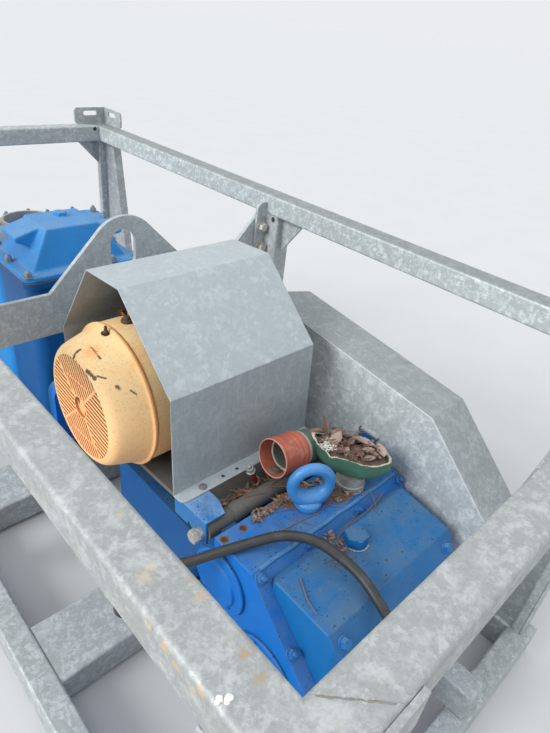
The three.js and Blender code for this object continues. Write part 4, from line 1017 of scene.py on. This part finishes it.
def build_cowl():
    place = MOTOR @ shift(-295, MOTOR_Y, COWL_Z) @ ALONG_X
    profile = [
        (116.6, 9), (116.6, 1.2), (117.2, 0.4), (118.6, 0.2), (120.4, 0.8), (124, 2.4), (128.6, 4.8),
        (132.6, 8.2), (135.8, 12.4), (138.3, 17.6), (140.4, 24), (143, 32), (145.4, 41), (148.8, 53),
        (152.4, 65), (155.2, 73), (156.7, 77), (157.6, 78.8), (160.2, 79.6), (163, 79.8), (164, 81),
        (164, 85.6), (163, 86.8), (158, 87.4), (156.6, 88.2), (156.6, 89.6), (158.4, 90.6), (160.4, 91.2),
        (COWL_REAR, 93), (COWL_REAR, 145),
    ]
    turned("cowl_shell", "amber", profile, 96, place, ("fan_cowl",))

    # The bars' flanks and the hub's inner wall go in flanks, in a darker copy of the slat colour: painted
    # shade.
    bars, flanks = bmesh.new(), bmesh.new()
    rings(bars, [(27.6, 9), (27.2, 1.6), (26.2, 0.8), (24.6, 0.8), (23.8, 1.4)], 40, place, cap=False)
    rings(bars, [(22.4, 7), (0.5, 6.6)], 40, place)
    rings(flanks, [(23.8, 1.4), (22.4, 7)], 40, place, cap=False)
    for quadrant in QUADRANTS:
        for start, end in slot_runs(*quadrant):
            grille_bar(bars, flanks, place, start, end, (SLOT_PITCH - SLOT_WIDTH) / 2, 0.6)
    for quadrant in QUADRANTS:
        ray = polar(1, quadrant[0])
        grille_bar(bars, flanks, place, ray * 25, ray * 117.4, 3.2, 0.4)
    for level, reach in ((63, 44), (-74, 48)):
        grille_bar(bars, flanks, place, Vector((-reach, level)), Vector((reach, level)), 1.7, 0.5)
    piece("cowl_grille", bars, "amber_slats", smooth=30)
    piece("cowl_grille_flanks_painted_shade", flanks, "amber_shade", smooth=30)
    # Painted shade: a near black sheet behind the bars, for the shade in the slots.
    turned("cowl_slot_shade_sheet", "slot_shade", [(GRILLE_RIM, 9.2), (GRILLE_RIM, 7.6), (24, 7.4)], 72, place,
           cap=False)

    # Painted shadow: near black patches in the hub's recess, a row of dots in the gap between the rim and
    # the rear part, and a near black disc round the screw.
    dark = bmesh.new()
    for a, b, wide, tall in ((15, 8, 3, 9), (-10, -15, 3, 4)):
        at = place @ shift(a, b, 0) @ Matrix.Diagonal((wide / 5, tall / 5, 1, 1))
        rings(dark, [(5, 6.9), (5, 6.4), (3, 6.1)], 18, at)
    for angle, half in ((63, 7), (52, 9), (40, 6)):
        for i in range(-half, half, 2):
            spot = polar(157.9, angle + i * 0.18)
            rings(dark, [(1.5, -0.8), (1.3, 0.5)], 7, place @ shift(spot.x, spot.y, 88.4))
    out = polar(1, 92).to_3d()
    at = place @ mm(out.x * 155.6, out.y * 155.6, 72)
    axis = place.to_3x3() @ out
    rings(dark, [(10, -1), (10, 0.9), (9, 1.3)], 26, aim(at, axis))
    piece("cowl_painted_shadows", dark, "dark")
    screw = bmesh.new()
    rings(screw, [(5.2, 0), (5.6, 3), (4.4, 6), (3.3, 7), (3.8, 9), (3.2, 11), (3.7, 13), (3, 15),
                  (1.4, 17)], 14, aim(at, axis))
    lump = polar(COWL_REAR, 88)
    rings(screw, [(13, -1), (14, 3), (12.5, 7), (8, 8), (7.4, 12), (4, 14)], 12,
          aim(place @ mm(lump.x, lump.y, 128), axis))
    piece("cowl_screws", screw, "old_bolt")
    wad = bmesh.new()
    for i, (angle, along, turn) in enumerate(((79, 133, 20), (76, 137, -30), (82, 138, 70))):
        spot = polar(COWL_REAR, angle)
        at = lifted(place @ mm(spot.x, spot.y, along) / MM, 9)
        leaf(wad, at, 34, 20, turn, tilt=-38 + 20 * i, roll=50, curl=1.0, seed=i + 40)
    piece("cowl_leaf", wad, "leaf_orange")


# ---------------------------------------------------------------- motor on its swinging plate
def build_motor():
    bm = bmesh.new()
    place = MOTOR @ shift(0, MOTOR_Y, MOTOR_Z) @ ALONG_X
    fins = 44
    outline = []
    for i in range(fins):
        for part, radius in ((-0.5, 139), (-0.16, 140), (-0.11, 152.8), (0.11, 152.8), (0.16, 140)):
            angle = 2 * pi * (i + part) / fins
            outline.append((radius * cos(angle), radius * sin(angle)))
    plate(bm, outline, place, -150, 96)
    rings(bm, [(140, 95), (150, 96), (153, 99), (153, 118), (150, 124), (141, 130), (118, 133), (104, 137),
               (96, 150), (95, 168), (92, 174), (62, 175), (58, 170), (40, 170), (36, 175), (24, 175),
               (24, 233)], 64, place)
    level = MOTOR @ shift(0, MOTOR_Y, 0)
    for inner, rib, foot in ((-70, -128, -140), (70, 128, 140)):
        block(bm, (-120, min(inner, foot), -15.6), (110, max(inner, foot), 4), level)
        for x in (-108, -40, 30, 98):
            block(bm, (x - 6, min(inner, rib), 3), (x + 6, max(inner, rib), 46), level)
    piece("motor_casing", bm, "iron", ("motor_body",), smooth=32)
    bolts = bmesh.new()
    up = MOTOR.to_3x3() @ Vector((0, 0, 1))
    for x in (-92, 82):
        for y in (-122, 122):
            hex_bolt(bolts, level @ mm(x, y, 4), up, 19, 12, washer=15)
    ahead = place.to_3x3() @ Vector((0, 0, 1))
    for i in range(6):
        angle = radians(30 + 60 * i)
        hex_bolt(bolts, place @ mm(128 * cos(angle), 128 * sin(angle), 131), ahead, 13, 8)
    piece("motor_bolts", bolts, "old_bolt")
    soften("motor_plate", 2)


def build_arms():
    for node in ("hinge_arm_left", "hinge_arm_right"):
        soften(node, 2.4)
    bolts, nuts, tubes = bmesh.new(), bmesh.new(), bmesh.new()
    for x, way in ((-219, -1), (147, 1)):
        hex_bolt(bolts, MOTOR @ mm(x, 3, -4), (way, 0, 0), 27, 14, washer=14, thick=9, turn=0.15)
    piece("hinge_bolts", bolts, "zinc_bolt")
    up = MOTOR.to_3x3() @ Vector((0, 0, 1))
    for x in (-190, 118):
        hex_bolt(nuts, MOTOR @ mm(x, 66, 25.6), up, 17, 5, washer=11, thick=1.5)
    piece("arm_nuts", nuts, "old_bolt")
    for profile in ([(16, -212.7), (20, -212.7), (20, -186)],
                    [(20, -150), (20, -146), (21.5, -145), (21.5, -120), (20, -119), (20, 60), (21.5, 61),
                     (21.5, 74), (20, 75), (20, 140.7), (16, 140.7)],
                    [(20, -187), (20, -149)]):
        rings(tubes, profile, 40, MOTOR @ ALONG_X)
    piece("hinge_pipe", tubes, "iron", ("hinge_tube",), smooth=50)


# ---------------------------------------------------------------- belt guard
# Outline of the guard's side: Y and Z
GUARD_OUTLINE = [(-290, 806), (-781, 743), (-975, 566), (-975, 350), (-840, 218), (-560, 218),
                 (-178, 588), (-139, 680), (-170, 756)]


def build_guard():
    soften("belt_guard", 3.2)
    beads = bmesh.new()
    centre = Vector((-560, 520))
    corners = [Vector(p) + (centre - Vector(p)).normalized() * 3 for p in GUARD_OUTLINE]
    for x in (234.6, 359.4):
        beaded(beads, [((x, *one), (x, *two)) for one, two in zip(corners, corners[1:] + corners[:1])], 0.9)
    piece("guard_seams", beads, "zinc_seam", smooth=60)
    soften("guard_clip", 1.2, "blue_deep")
    bolts = bmesh.new()
    hex_bolt(bolts, mm(208, -644, 573), (0, 0, 1), 17, 10, washer=14, thick=2)
    block(bolts, (226.5, -671, 613), (234, -618, 617.5))
    block(bolts, (226.5, -621, 574), (234, -617.5, 617.5))
    for y, z in ((-350, 700), (-800, 640), (-860, 420), (-300, 560), (-660, 300)):
        hex_bolt(bolts, mm(360, y, z), (1, 0, 0), 13, 7, washer=11, thick=1.5)
    piece("guard_bolts", bolts, "zinc_bolt")


# ---------------------------------------------------------------- crankcase
# Crankcase cover: its section in Y and Z, its ends along X, and its plan in X and Y
COVER_OUTLINE = [(-760, 548), (-780, 562), (-905, 549), (-940, 502), (-940, 400), (-925, 383)]
COVER_ENDS = (-192, 201)
COVER_PLAN = [(-192, -775), (-178, -760), (187, -760), (201, -775), (195, -922), (179, -940),
              (-170, -940), (-186, -922)]

# The hexagon plug's middle and the slope of the cover under it
PLUG_AT = (2, -806)
SLOPE = 0.104


def build_cover():
    bm = bmesh.new()
    plate(bm, COVER_OUTLINE, ALONG_X, *COVER_ENDS)
    bmesh.ops.dissolve_limit(bm, angle_limit=radians(1), verts=bm.verts, edges=bm.edges)
    middle = Vector((4, -850))
    for one, two in zip(COVER_PLAN, COVER_PLAN[1:] + COVER_PLAN[:1]):
        one, two = Vector(one), Vector(two)
        outward = Vector(((two - one).y, -(two - one).x)).normalized()
        if outward.dot(one - middle) < 0:
            outward = -outward
        bmesh.ops.bisect_plane(bm, geom=bm.verts[:] + bm.edges[:] + bm.faces[:], dist=1e-6,
                               plane_co=mm(one.x, one.y, 0), plane_no=(outward.x, outward.y, 0),
                               clear_outer=True)
        bmesh.ops.holes_fill(bm, edges=[edge for edge in bm.edges if edge.is_boundary])
    cover = piece("cover_casting", bm, "blue_cover", ("crankcase_cover",), smooth=180)
    bevelled(cover, 6, 4, 12)
    cover.modifiers.new("shading", "WEIGHTED_NORMAL").keep_sharp = True

    plug = bmesh.new()
    x, y = PLUG_AT
    at = shift(x, y, 556)
    rings(plug, [(25.4, 0), (25.4, 20.5), (24.2, 22.4), (22, 23.2)], 6, at)
    rings(plug, [(20.4, 21), (20.2, 23.6), (19, 24), (8, 24.1), (2, 24.1)], 36, at)
    piece("cover_plug", plug, "blue_cover")
    seal = bmesh.new()
    points = []
    for angle in range(196, 304, 6):
        across, along = 27 * cos(radians(angle)), 27 * sin(radians(angle))
        points.append((x + across, y + along, 560.3 + SLOPE * along))
    tube(seal, points, [0.7 + 0.7 * sin(i * 1.3) ** 2 for i in range(len(points))], 7)
    piece("plug_sealant", seal, "sealant")


def build_crankcase():
    soften("crankcase", 6)
    for node in ("bearing_cover", "crank_cover"):
        soften(node, 3)
    build_cover()
    blue = bmesh.new()
    split = (0, -sqrt(0.5), sqrt(0.5))
    for x, y, z in ((-204, -753, 555), (-76, -753, 555), (71, -753, 555), (216, -753, 555),
                    (-207, -855, 453), (-207, -915, 393), (216, -855, 453), (216, -915, 393)):
        hex_bolt(blue, mm(x, y, z), split, 17, 7, washer=13, thick=2, turn=x, stud=5)
    for x in (-160, 167):
        hex_bolt(blue, mm(x, -923, 525.2), (0, -0.8, 0.6), 19, 10, washer=14, thick=2, turn=x)
    for x in (-150, 4, 158):
        hex_bolt(blue, mm(x, -940, 418), (0, -1, 0), 19, 11, washer=14, thick=2, turn=x)
    for i in range(6):
        angle = radians(68 + 60 * i)
        hex_bolt(blue, mm(-225, -804 + 71 * cos(angle), 345 + 71 * sin(angle)), (-1, 0, 0), 13, 8, turn=i)
    for y in (-690, -780, -870):
        for x in (-224, 229):
            hex_bolt(blue, mm(x, y, FOOT_TOP), (0, 0, 1), 17, 12, turn=y)
    piece("crankcase_bolts", blue, "blue_bolt")
    pins, gaps, ridge = bmesh.new(), bmesh.new(), bmesh.new()
    for y, z in ((-650, 507), (-626, 419), (-700, 430)):
        rings(pins, [(4, -0.5), (4, 2.4), (3.4, 3), (1, 3.1)], 16, aim(mm(-226, y, z), (-1, 0, 0)))
    piece("cover_pins", pins, "blue_deep")
    # The ridge along the split is in a paler blue: dust and a painted highlight.
    points = [(x, -741 + 0.8 * sin(x * 0.07), 563.4 + 0.3 * sin(x * 0.11)) for x in range(-198, 217, 6)]
    tube(ridge, points, 5.2, 16)
    piece("split_ridge", ridge, "blue_dust_and_highlight", smooth=60)
    # Darker blue rings round the two covers: painted shade in the gaps between the covers and the case.
    for y, z, radius in ((-663, 470, 73.6), (-804, 345, 80.6)):
        rings(gaps, [(radius + 2.2, -0.2), (radius + 2.2, 0.5), (radius, 0.9), (radius, -0.2)], 64,
              aim(mm(-218, y, z), (-1, 0, 0)), cap=False)
    piece("cover_gap_shade", gaps, "blue_deep")

    # The rings round the empty bolt holes are rust; the near black discs inside them are painted shade.
    rusty, hollow = bmesh.new(), bmesh.new()
    for x, y in ((-160.7, -651), (-206.7, -650.6)):
        at = shift(x, y, CASE_TOP)
        rings(rusty, [(9, -0.5), (9, 0.5), (6.4, 0.9), (5.6, 0.2)], 22, at)
        rings(hollow, [(5.8, -0.3), (5.8, 0.6), (4, 0.4)], 20, at)
    piece("case_bolt_holes", rusty, "rust")
    piece("case_bolt_hollow_shade", hollow, "dark")
    one, two = Vector((-27, -545, 524)), Vector((-53, -545, 587))
    axis = (two - one).normalized()
    long = (two - one).length
    thread = [(6 - 0.45 * (i % 2), 2 + i * 1.5) for i in range(int((long - 4) / 1.5))]
    turned("tension_stud", "red_stud", [(6, 0)] + thread + [(5.4, long)], 20, aim(one * MM, axis), smooth=35)
    nut = bmesh.new()
    hex_bolt(nut, two * MM - axis * 12 * MM, axis, 17, 10, washer=11, thick=2, stud=5)
    hex_bolt(nut, one * MM, axis, 17, 9)
    piece("stud_nut", nut, "zinc_bolt")


def build_eye():
    bm = bmesh.new()
    spin = shift(-12, -685, CASE_TOP) @ Matrix.Rotation(radians(-30), 4, "Z")
    around, across = 72, 20
    grid = []
    for i in range(around):
        a = 2 * pi * i / around
        low = max(0.0, -sin(a)) ** 1.5
        row = []
        for j in range(across):
            b = 2 * pi * j / across
            reach = 39.5 + (12 + 6 * low) * cos(b)
            row.append(bm.verts.new(spin @ mm(reach * cos(a), (12 + 8 * low) * sin(b), 59 + reach * sin(a))))
        grid.append(row)
    knit(bm, grid)
    rings(bm, [(27, 0), (28.6, 1.6), (29, 4), (29, 11), (28.4, 14), (26.6, 17), (22.5, 19.6), (16, 21)],
          48, spin)
    piece("eye_casting", bm, "blue_eye", ("lifting_eye",), smooth=60)


# ---------------------------------------------------------------- torn elbow and its sleeve
# Levels of the elbow's outside and inside: height, share of the outline, share from belly to rim
BOWL_OUTSIDE = [(604, 0.62, 0), (609, 0.78, 0), (616, 0.9, 0), (624, 0.97, 0), (632, 1.0, 0.05),
                (640, 1.0, 0.3), (648, 1.0, 0.68), (654, 1.0, 1.0)]
BOWL_INSIDE = [(654, 0.925, 1.0), (644, 0.92, 0.8), (632, 0.91, 0.2), (620, 0.84, 0), (612, 0.6, 0)]


def bowl_ring(count, z, share, toward):
    belly, rim = closed_curve(BOWL_BELLY, count), closed_curve(BOWL_RIM, count)
    return [(NECK + (b.lerp(r, toward) - NECK) * share).to_3d() + Vector((0, 0, z))
            for b, r in zip(belly, rim)]


def build_elbow():
    count = 120
    outer = [bowl_ring(count, *level) for level in BOWL_OUTSIDE]
    inner = [bowl_ring(count, *level) for level in BOWL_INSIDE]
    for level in (outer[-1], inner[0]):
        for point in level:
            wave = noise.noise(Vector((point.x, point.y, 0)) * 0.09)
            fine = noise.noise(Vector((point.x, point.y, 50)) * 0.4)
            notch = max(0.0, 1 - (point - Vector((57, -668, point.z))).length / 11)
            rise = max(0.0, 1 - (point - Vector((72, -596, point.z))).length / 30)
            point.z += 3.2 * wave + 1.4 * fine - 9 * notch + 6 * rise
    bm = bmesh.new()
    bridge(bm, [[bm.verts.new(point * MM) for point in level] for level in outer + inner])
    piece("elbow_shell", bm, "green", ("filler_bowl",), smooth=45)
    torn, crown = bmesh.new(), bmesh.new()
    rows = []
    for a, b in zip(outer[-1], inner[0]):
        jag = 0.7 * noise.noise(a * 0.35) + 0.6 * noise.noise(a * 0.9)
        out = (a - b).normalized()
        lip = (lifted(a - out * 0.3, -0.6 - jag), lifted(a - out * 0.8, 0.8 + jag),
               lifted(b + out * 0.2, 0.9 + jag), lifted(b - out * 0.5, -3 - jag))
        rows.append([torn.verts.new(point * MM) for point in lip])
    knit(torn, rows)
    piece("elbow_torn_edge", torn, "torn", smooth=60)
    path = [(70, -584, 634), (74, -588, 649), (80, -594, 659), (89, -601, 662), (100, -608, 660),
            (112, -616, 655), (122, -627, 651)]
    tube(crown, path, [3, 4.6, 5.4, 5.6, 5.2, 4.4, 2.6], 9)
    piece("elbow_torn_crown", crown, "bark", smooth=60)


def build_sleeve():
    """The sleeve on the elbow's lip with the spigot and silt inside it, and the elbow's neck."""
    lay = (shift(-32, -588, 634) @ Matrix.Rotation(radians(-2.1), 4, "Z")
           @ Matrix.Rotation(radians(7.5), 4, "Y") @ ALONG_X)
    spigot, chalk, silt = bmesh.new(), bmesh.new(), bmesh.new()
    rings(spigot, [(37.6, 33), (37.6, 108), (36.4, 110), (33, 110), (32.6, 108), (32.6, 33.5), (33.2, 32),
                   (37, 32), (37.6, 33)], 72, lay, cap=False)
    rings(spigot, [(32.7, 104), (32.7, 105)], 40, lay)
    piece("elbow_spigot", spigot, "green_inside", smooth=50)
    for profile in ([(37.4, 31.7), (37.8, 32), (37.8, 34), (32.4, 34), (32.4, 32), (33, 31.5), (37.4, 31.7)],
                    [(38.2, 74.5), (39.6, 75), (39.8, 79), (38.6, 83), (37.4, 84), (37.4, 74.5),
                     (38.2, 74.5)]):
        rings(chalk, profile, 72, lay, cap=False)
    piece("spigot_rings", chalk, "chalk", smooth=50)
    for along in (18, 44, 66):
        heap(silt, lifted(lay @ mm(0, -37.5, along) / MM, -1.5), (15, 17), 4.5, 0, along, 0.5, 24, 6)
    piece("sleeve_silt", silt, "mould", smooth=70)
    sleeve = [(40.6, 1), (41.6, 0), (43.4, 0), (44, 1.2), (44, 5), (42.4, 8), (41.8, 10), (42.2, 12),
              (43, 15), (43, 20), (42.2, 23), (42, 40), (41.6, 43), (40.6, 45), (41.2, 47.4), (41.8, 49),
              (41.8, 54), (40.8, 56), (40.6, 58), (42.2, 60.4), (42.6, 62), (42.6, 69), (42.2, 71),
              (41.2, 72), (41, 74), (38.8, 74), (38.2, 73), (39.2, 40), (40.5, 3), (40.6, 1)]
    turned("sleeve_tube", "red", sleeve, 84, lay, ("inlet_sleeve",), cap=False)
    turned("sleeve_lip", "pale_red", [(41.3, 0.2), (41.6, -0.5), (43.3, -0.5), (43.8, 0.3), (43.8, 1.4),
                                      (41.2, 1.2), (41.3, 0.2)], 84, lay, cap=False)
    neck = [(33.6, CASE_TOP), (33.6, 569), (31.4, 571), (31, 578), (32.6, 579), (33.2, 580.4),
            (33.2, 582.4), (32.4, 583.6), (31, 584.4), (31, 603.6)]
    turned("neck_pipe", "steel", neck, 60, shift(NECK.x, NECK.y, 0), ("filler_neck",))


# ---------------------------------------------------------------- leaf litter and dirt
# Heaps on the crankcase and the cylinder: centre, reach, height, turn, seed, roughness, sides, levels
HEAPS = [
    ((92, -698, 566.5), (66, 34), 9, 8, 4, 0.9, 60, 12), ((-70, -646, 566.5), (70, 11), 6, 3, 5, 0.9, 60, 8),
    ((-10, -655, 566.5), (50, 20), 6, 12, 6, 0.9, 48, 8),
    ((160, -650, 566.5), (40, 15), 5, -8, 7, 0.6, 32, 8),
    ((-30, -548, 514), (118, 15), 12, 0, 8, 0.8, 60, 8),
]

# Points along each twig
TWIGS = [
    [(-122, -700, 568), (-70, -708, 568.4), (-10, -716, 568.6), (40, -706, 569), (84, -684, 574)],
    [(70, -760, 558), (30, -770, 562), (-20, -782, 564), (-62, -800, 564.5)],
    [(150, -762, 560), (112, -770, 562.6), (66, -776, 564), (20, -776, 564.5)],
    [(128, -740, 567.6), (118, -762, 563), (92, -790, 563.6)],
    [(-120, -560, 545), (-80, -580, 560), (-40, -604, 570), (2, -640, 575), (40, -668, 576)],
    [(-150, -800, 563), (-170, -838, 559), (-176, -868, 556)],
]


def build_mould():
    dirt = bmesh.new()
    fill = []
    for share in (0.93, 0.84, 0.72, 0.58, 0.44, 0.3, 0.15, 0.03):
        level = bowl_ring(90, 641, share, 0.8)
        for point in level:
            rough = noise.noise(point * 0.07) + 0.7 * noise.noise(point * 0.21)
            point += (FILL_CENTRE - NECK).to_3d() * (1 - share)
            point.z += 15 * (1 - share ** 2) + 4 * rough * (1 - share ** 4)
        fill.append([dirt.verts.new(point * MM) for point in level])
    bridge(dirt, fill, cap=False)
    dirt.faces.new(fill[-1])
    for values in HEAPS:
        heap(dirt, *values)
    piece("leaf_mould", dirt, "mould", smooth=70)


def build_litter():
    build_mould()
    chance = random.Random(11)
    draw = chance.uniform
    leaves, pale, bright = bmesh.new(), bmesh.new(), bmesh.new()
    for i in range(60):
        angle, share = draw(0, 6.28), sqrt(chance.random()) * 0.96
        along = 66 * share * sin(angle)
        x = 112 + cos(angle) * 40 * share + along * 0.3
        leaf(leaves if i % 3 else pale, (x, -672 - along, 655 + draw(-2, 4) * (1.1 - share)), draw(18, 34),
             draw(10, 20), draw(0, 360), draw(-26, 26), draw(-30, 30), draw(0.5, 1.2), i)
    for mesh, at, long, wide, turn, tilt, roll, curl, seed in (
            (leaves, (104, -604, 672), 40, 20, 70, 52, 20, 0.7, 91),
            (pale, (96, -650, 664), 46, 30, 20, 12, -12, 0.5, 92),
            (pale, (138, -690, 663), 46, 30, 120, 14, 12, 0.5, 93),
            (pale, (150, -728, 660), 40, 26, 60, 10, 10, 0.6, 94)):
        leaf(mesh, at, long, wide, turn, tilt, roll, curl, seed)
    for count, x0, x1, y0, y1, y2, z, long, tilt, seed in (
            (70, 36, 160, -690, -36, 40, 573, 10, 15, 100),
            (60, -135, 30, -645, -13, 10, 571.5, 9, 12, 180)):
        for i in range(count):
            leaf((leaves, pale, bright)[i % 3] if i % 4 else leaves, (draw(x0, x1), y0 + draw(y1, y2), z),
                 draw(long, 22), draw(4, 9), draw(0, 360), draw(-tilt, tilt), draw(-20, 20), 0.5, seed + i)
    for i in range(84):
        leaf((leaves, pale, leaves, bright)[i % 4],
             (draw(-150, 90), -548 + draw(-12, 8), 523 + draw(0, 7)), draw(12, 34), draw(5, 11),
             draw(0, 360), draw(-20, 20), draw(-20, 20), 0.6, 250 + i)
    for i in range(16):
        leaf(bright, (-38 + draw(-16, 12), -786 + draw(-28, 26), 564.5), draw(9, 18), draw(3, 7),
             draw(0, 360), draw(-9, 9), 0, 0.4, 320 + i)
    piece("dry_leaves_orange", bright, "leaf_orange", smooth=70)
    piece("dry_leaves", leaves, "leaf_brown", smooth=70)
    piece("dry_leaves_pale", pale, "leaf_pale", smooth=70)
    lichen = bmesh.new()
    for _ in range(64):
        at = Vector((72 + draw(-11, 11), -650 + draw(-15, 15), 654 + draw(-2, 6)))
        middle = at + Vector((draw(-5, 5), draw(-5, 5), 4))
        tube(lichen, [at, middle, at + Vector((draw(-8, 8), draw(-8, 8), 7))], [1.4, 1.7, 0.6], 6)
    piece("lichen", lichen, "lichen", smooth=70)
    needles = bmesh.new()
    spots = []
    for count, x0, x1, y0, y1, y2, z in (
            (12, -75, 60, -668, -22, 20, 570), (7, -120, 150, -716, -12, 14, 568),
            (12, -60, -20, -790, -40, 30, 562.5), (14, 60, 160, -700, -30, 30, 574)):
        for _ in range(count):
            spots.append((draw(x0, x1), y0 + draw(y1, y2), z))
    for x, y, z in spots:
        flat = z > 563
        needle(needles, (x, y, z if flat else z + SLOPE * (y + 780)), draw(32, 78),
               draw(0, 360) if flat else draw(-25, 25), 0, draw(-0.3, 0.3))
    for _ in range(16):
        needle(needles, (112 + draw(-35, 35), -676 + draw(-55, 55), 664), draw(30, 60), draw(0, 360),
               draw(0, 8), draw(-0.4, 0.4))
    for _ in range(10):
        needle(needles, (draw(-120, 120), -596 + draw(-6, 6), 567.5), draw(30, 60), draw(-20, 20), 0,
               draw(-0.2, 0.2))
    for twig in TWIGS:
        tube(needles, twig, [1.1] * (len(twig) - 1) + [0.5], 6)
    piece("pine_needles", needles, "needle", smooth=70)


# ---------------------------------------------------------------- pump body and chests
# Nuts of the rear chest's flange: X and Y
REAR_NUTS = [(-60, 586), (-132, 586), (75, 586), (210, 586), (-132, 683), (-132, 778), (-60, 784), (19, 788),
             (118, 788), (210, 784), (285, 600), (285, 690), (285, 770), (148, 720)]


def rounded(x0, x1, y0, y1, radius):
    """A rectangle with rounded corners of eight steps, in millimetres."""
    points = []
    for cx, cy, start in ((x1 - radius, y0 + radius, -90), (x1 - radius, y1 - radius, 0),
                          (x0 + radius, y1 - radius, 90), (x0 + radius, y0 + radius, 180)):
        for i in range(9):
            angle = radians(start + 90 * i / 8)
            points.append((cx + radius * cos(angle), cy + radius * sin(angle)))
    return points


def build_pump():
    for node, width in (("pump_bed", 5), ("cylinder", 3), ("valve_chest", 5), ("rear_chest", 5)):
        soften(node, width)
    cast("valve_chest_lid", 3.2, 12)
    up = (0, 0, 1)
    nuts = bmesh.new()
    for x, y in [(x, y) for x in (-167, 167) for y in (277, 412, 540)] + [(90, 277), (-90, 535), (90, 535)]:
        at = mm(x, y, CHEST_TOP)
        hex_bolt(nuts, at, up, 19, 10, washer=14, turn=x + y)
        rings(nuts, [(9, 11.5), (8.4, 15), (6, 18), (2.5, 19.4)], 20, Matrix.Translation(at))
    for x, y in REAR_NUTS:
        hex_bolt(nuts, mm(x, y, 722), up, 19, 12, washer=14, turn=x + y, stud=6)
    for i in range(8):
        angle = radians(22.5 + 45 * i)
        hex_bolt(nuts, mm(8 + 99 * cos(angle), 684 + 99 * sin(angle), CHEST_TOP), up, 19, 12,
                 turn=i, stud=6)
    for i in range(10):
        angle = radians(18 + 36 * i)
        x, z = 132 * cos(angle), 300 + min(92, max(-92, 132 * sin(angle)))
        for y, way in ((-203, 1), (206, -1)):
            if abs(sin(angle)) < 0.8 or abs(cos(angle)) > 0.3:
                hex_bolt(nuts, mm(x, y, z), (0, way, 0), 19, 12, washer=14, thick=2, turn=i)
    piece("chest_nuts", nuts, "worn_bolt")
    plug, gasket, ribs, feet = bmesh.new(), bmesh.new(), bmesh.new(), bmesh.new()
    at = shift(7, 430, 845)
    rings(plug, [(21, -1), (21, 9.5), (19.4, 12.4)], 6, at)
    rings(plug, [(17.6, 11), (17.2, 12.8), (15, 13), (12.6, 12.9), (11.4, 10.4)], 36, at)
    piece("lid_plug", plug, "blue_lid")
    plate(gasket, rounded(-180.3, 180.3, 262.7, 549.3, 32), Matrix(), 721.2, 722.8)
    piece("chest_gasket", gasket, "gasket")
    for y in (-560, -420, -300):
        block(ribs, (186, y - 7, 196), (194, y + 7, 455))
    bevelled(piece("casting_ribs", ribs, "blue"), 3.4, 3)
    for x in (-204, 204):
        for y in (300, 512, 590, 770):
            hex_bolt(feet, mm(x, y, FOOT_TOP), up, 22, 13, washer=15, turn=x + y)
    piece("foot_bolts", feet, "zinc_bolt")


# ---------------------------------------------------------------- the scene
def add_floor():
    bm = bmesh.new()
    bmesh.ops.create_grid(bm, x_segments=4, y_segments=4, size=300)
    data = bpy.data.meshes.new("floor")
    bm.to_mesh(data)
    bm.free()
    floor = linked("floor", data)
    look = Graph("floor_pale")
    look.colour = look.mix(look.noise(3, 3, 0.5), (0.52, 0.53, 0.54), (0.56, 0.57, 0.58))
    data.materials.append(look.finish(0.9))


add_camera()
build_cable()
add_world()
add_sun("key", (-0.84, 0.16, 0.52), 2.7, 28, (1.0, 0.985, 0.96))
add_sun("sky", (0.1, -0.25, 1.0), 0.7, 70, (0.94, 0.97, 1.0))

for name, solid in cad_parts.items():
    solid.data.materials.clear()
    solid.data.materials.append(FINISH[CAD_FINISH.get(name, "frame")])

add_floor()
for build in (build_frame, build_hood, build_cowl, build_motor, build_arms, build_guard, build_crankcase,
              build_eye, build_elbow, build_sleeve, build_litter, build_pump):
    build()
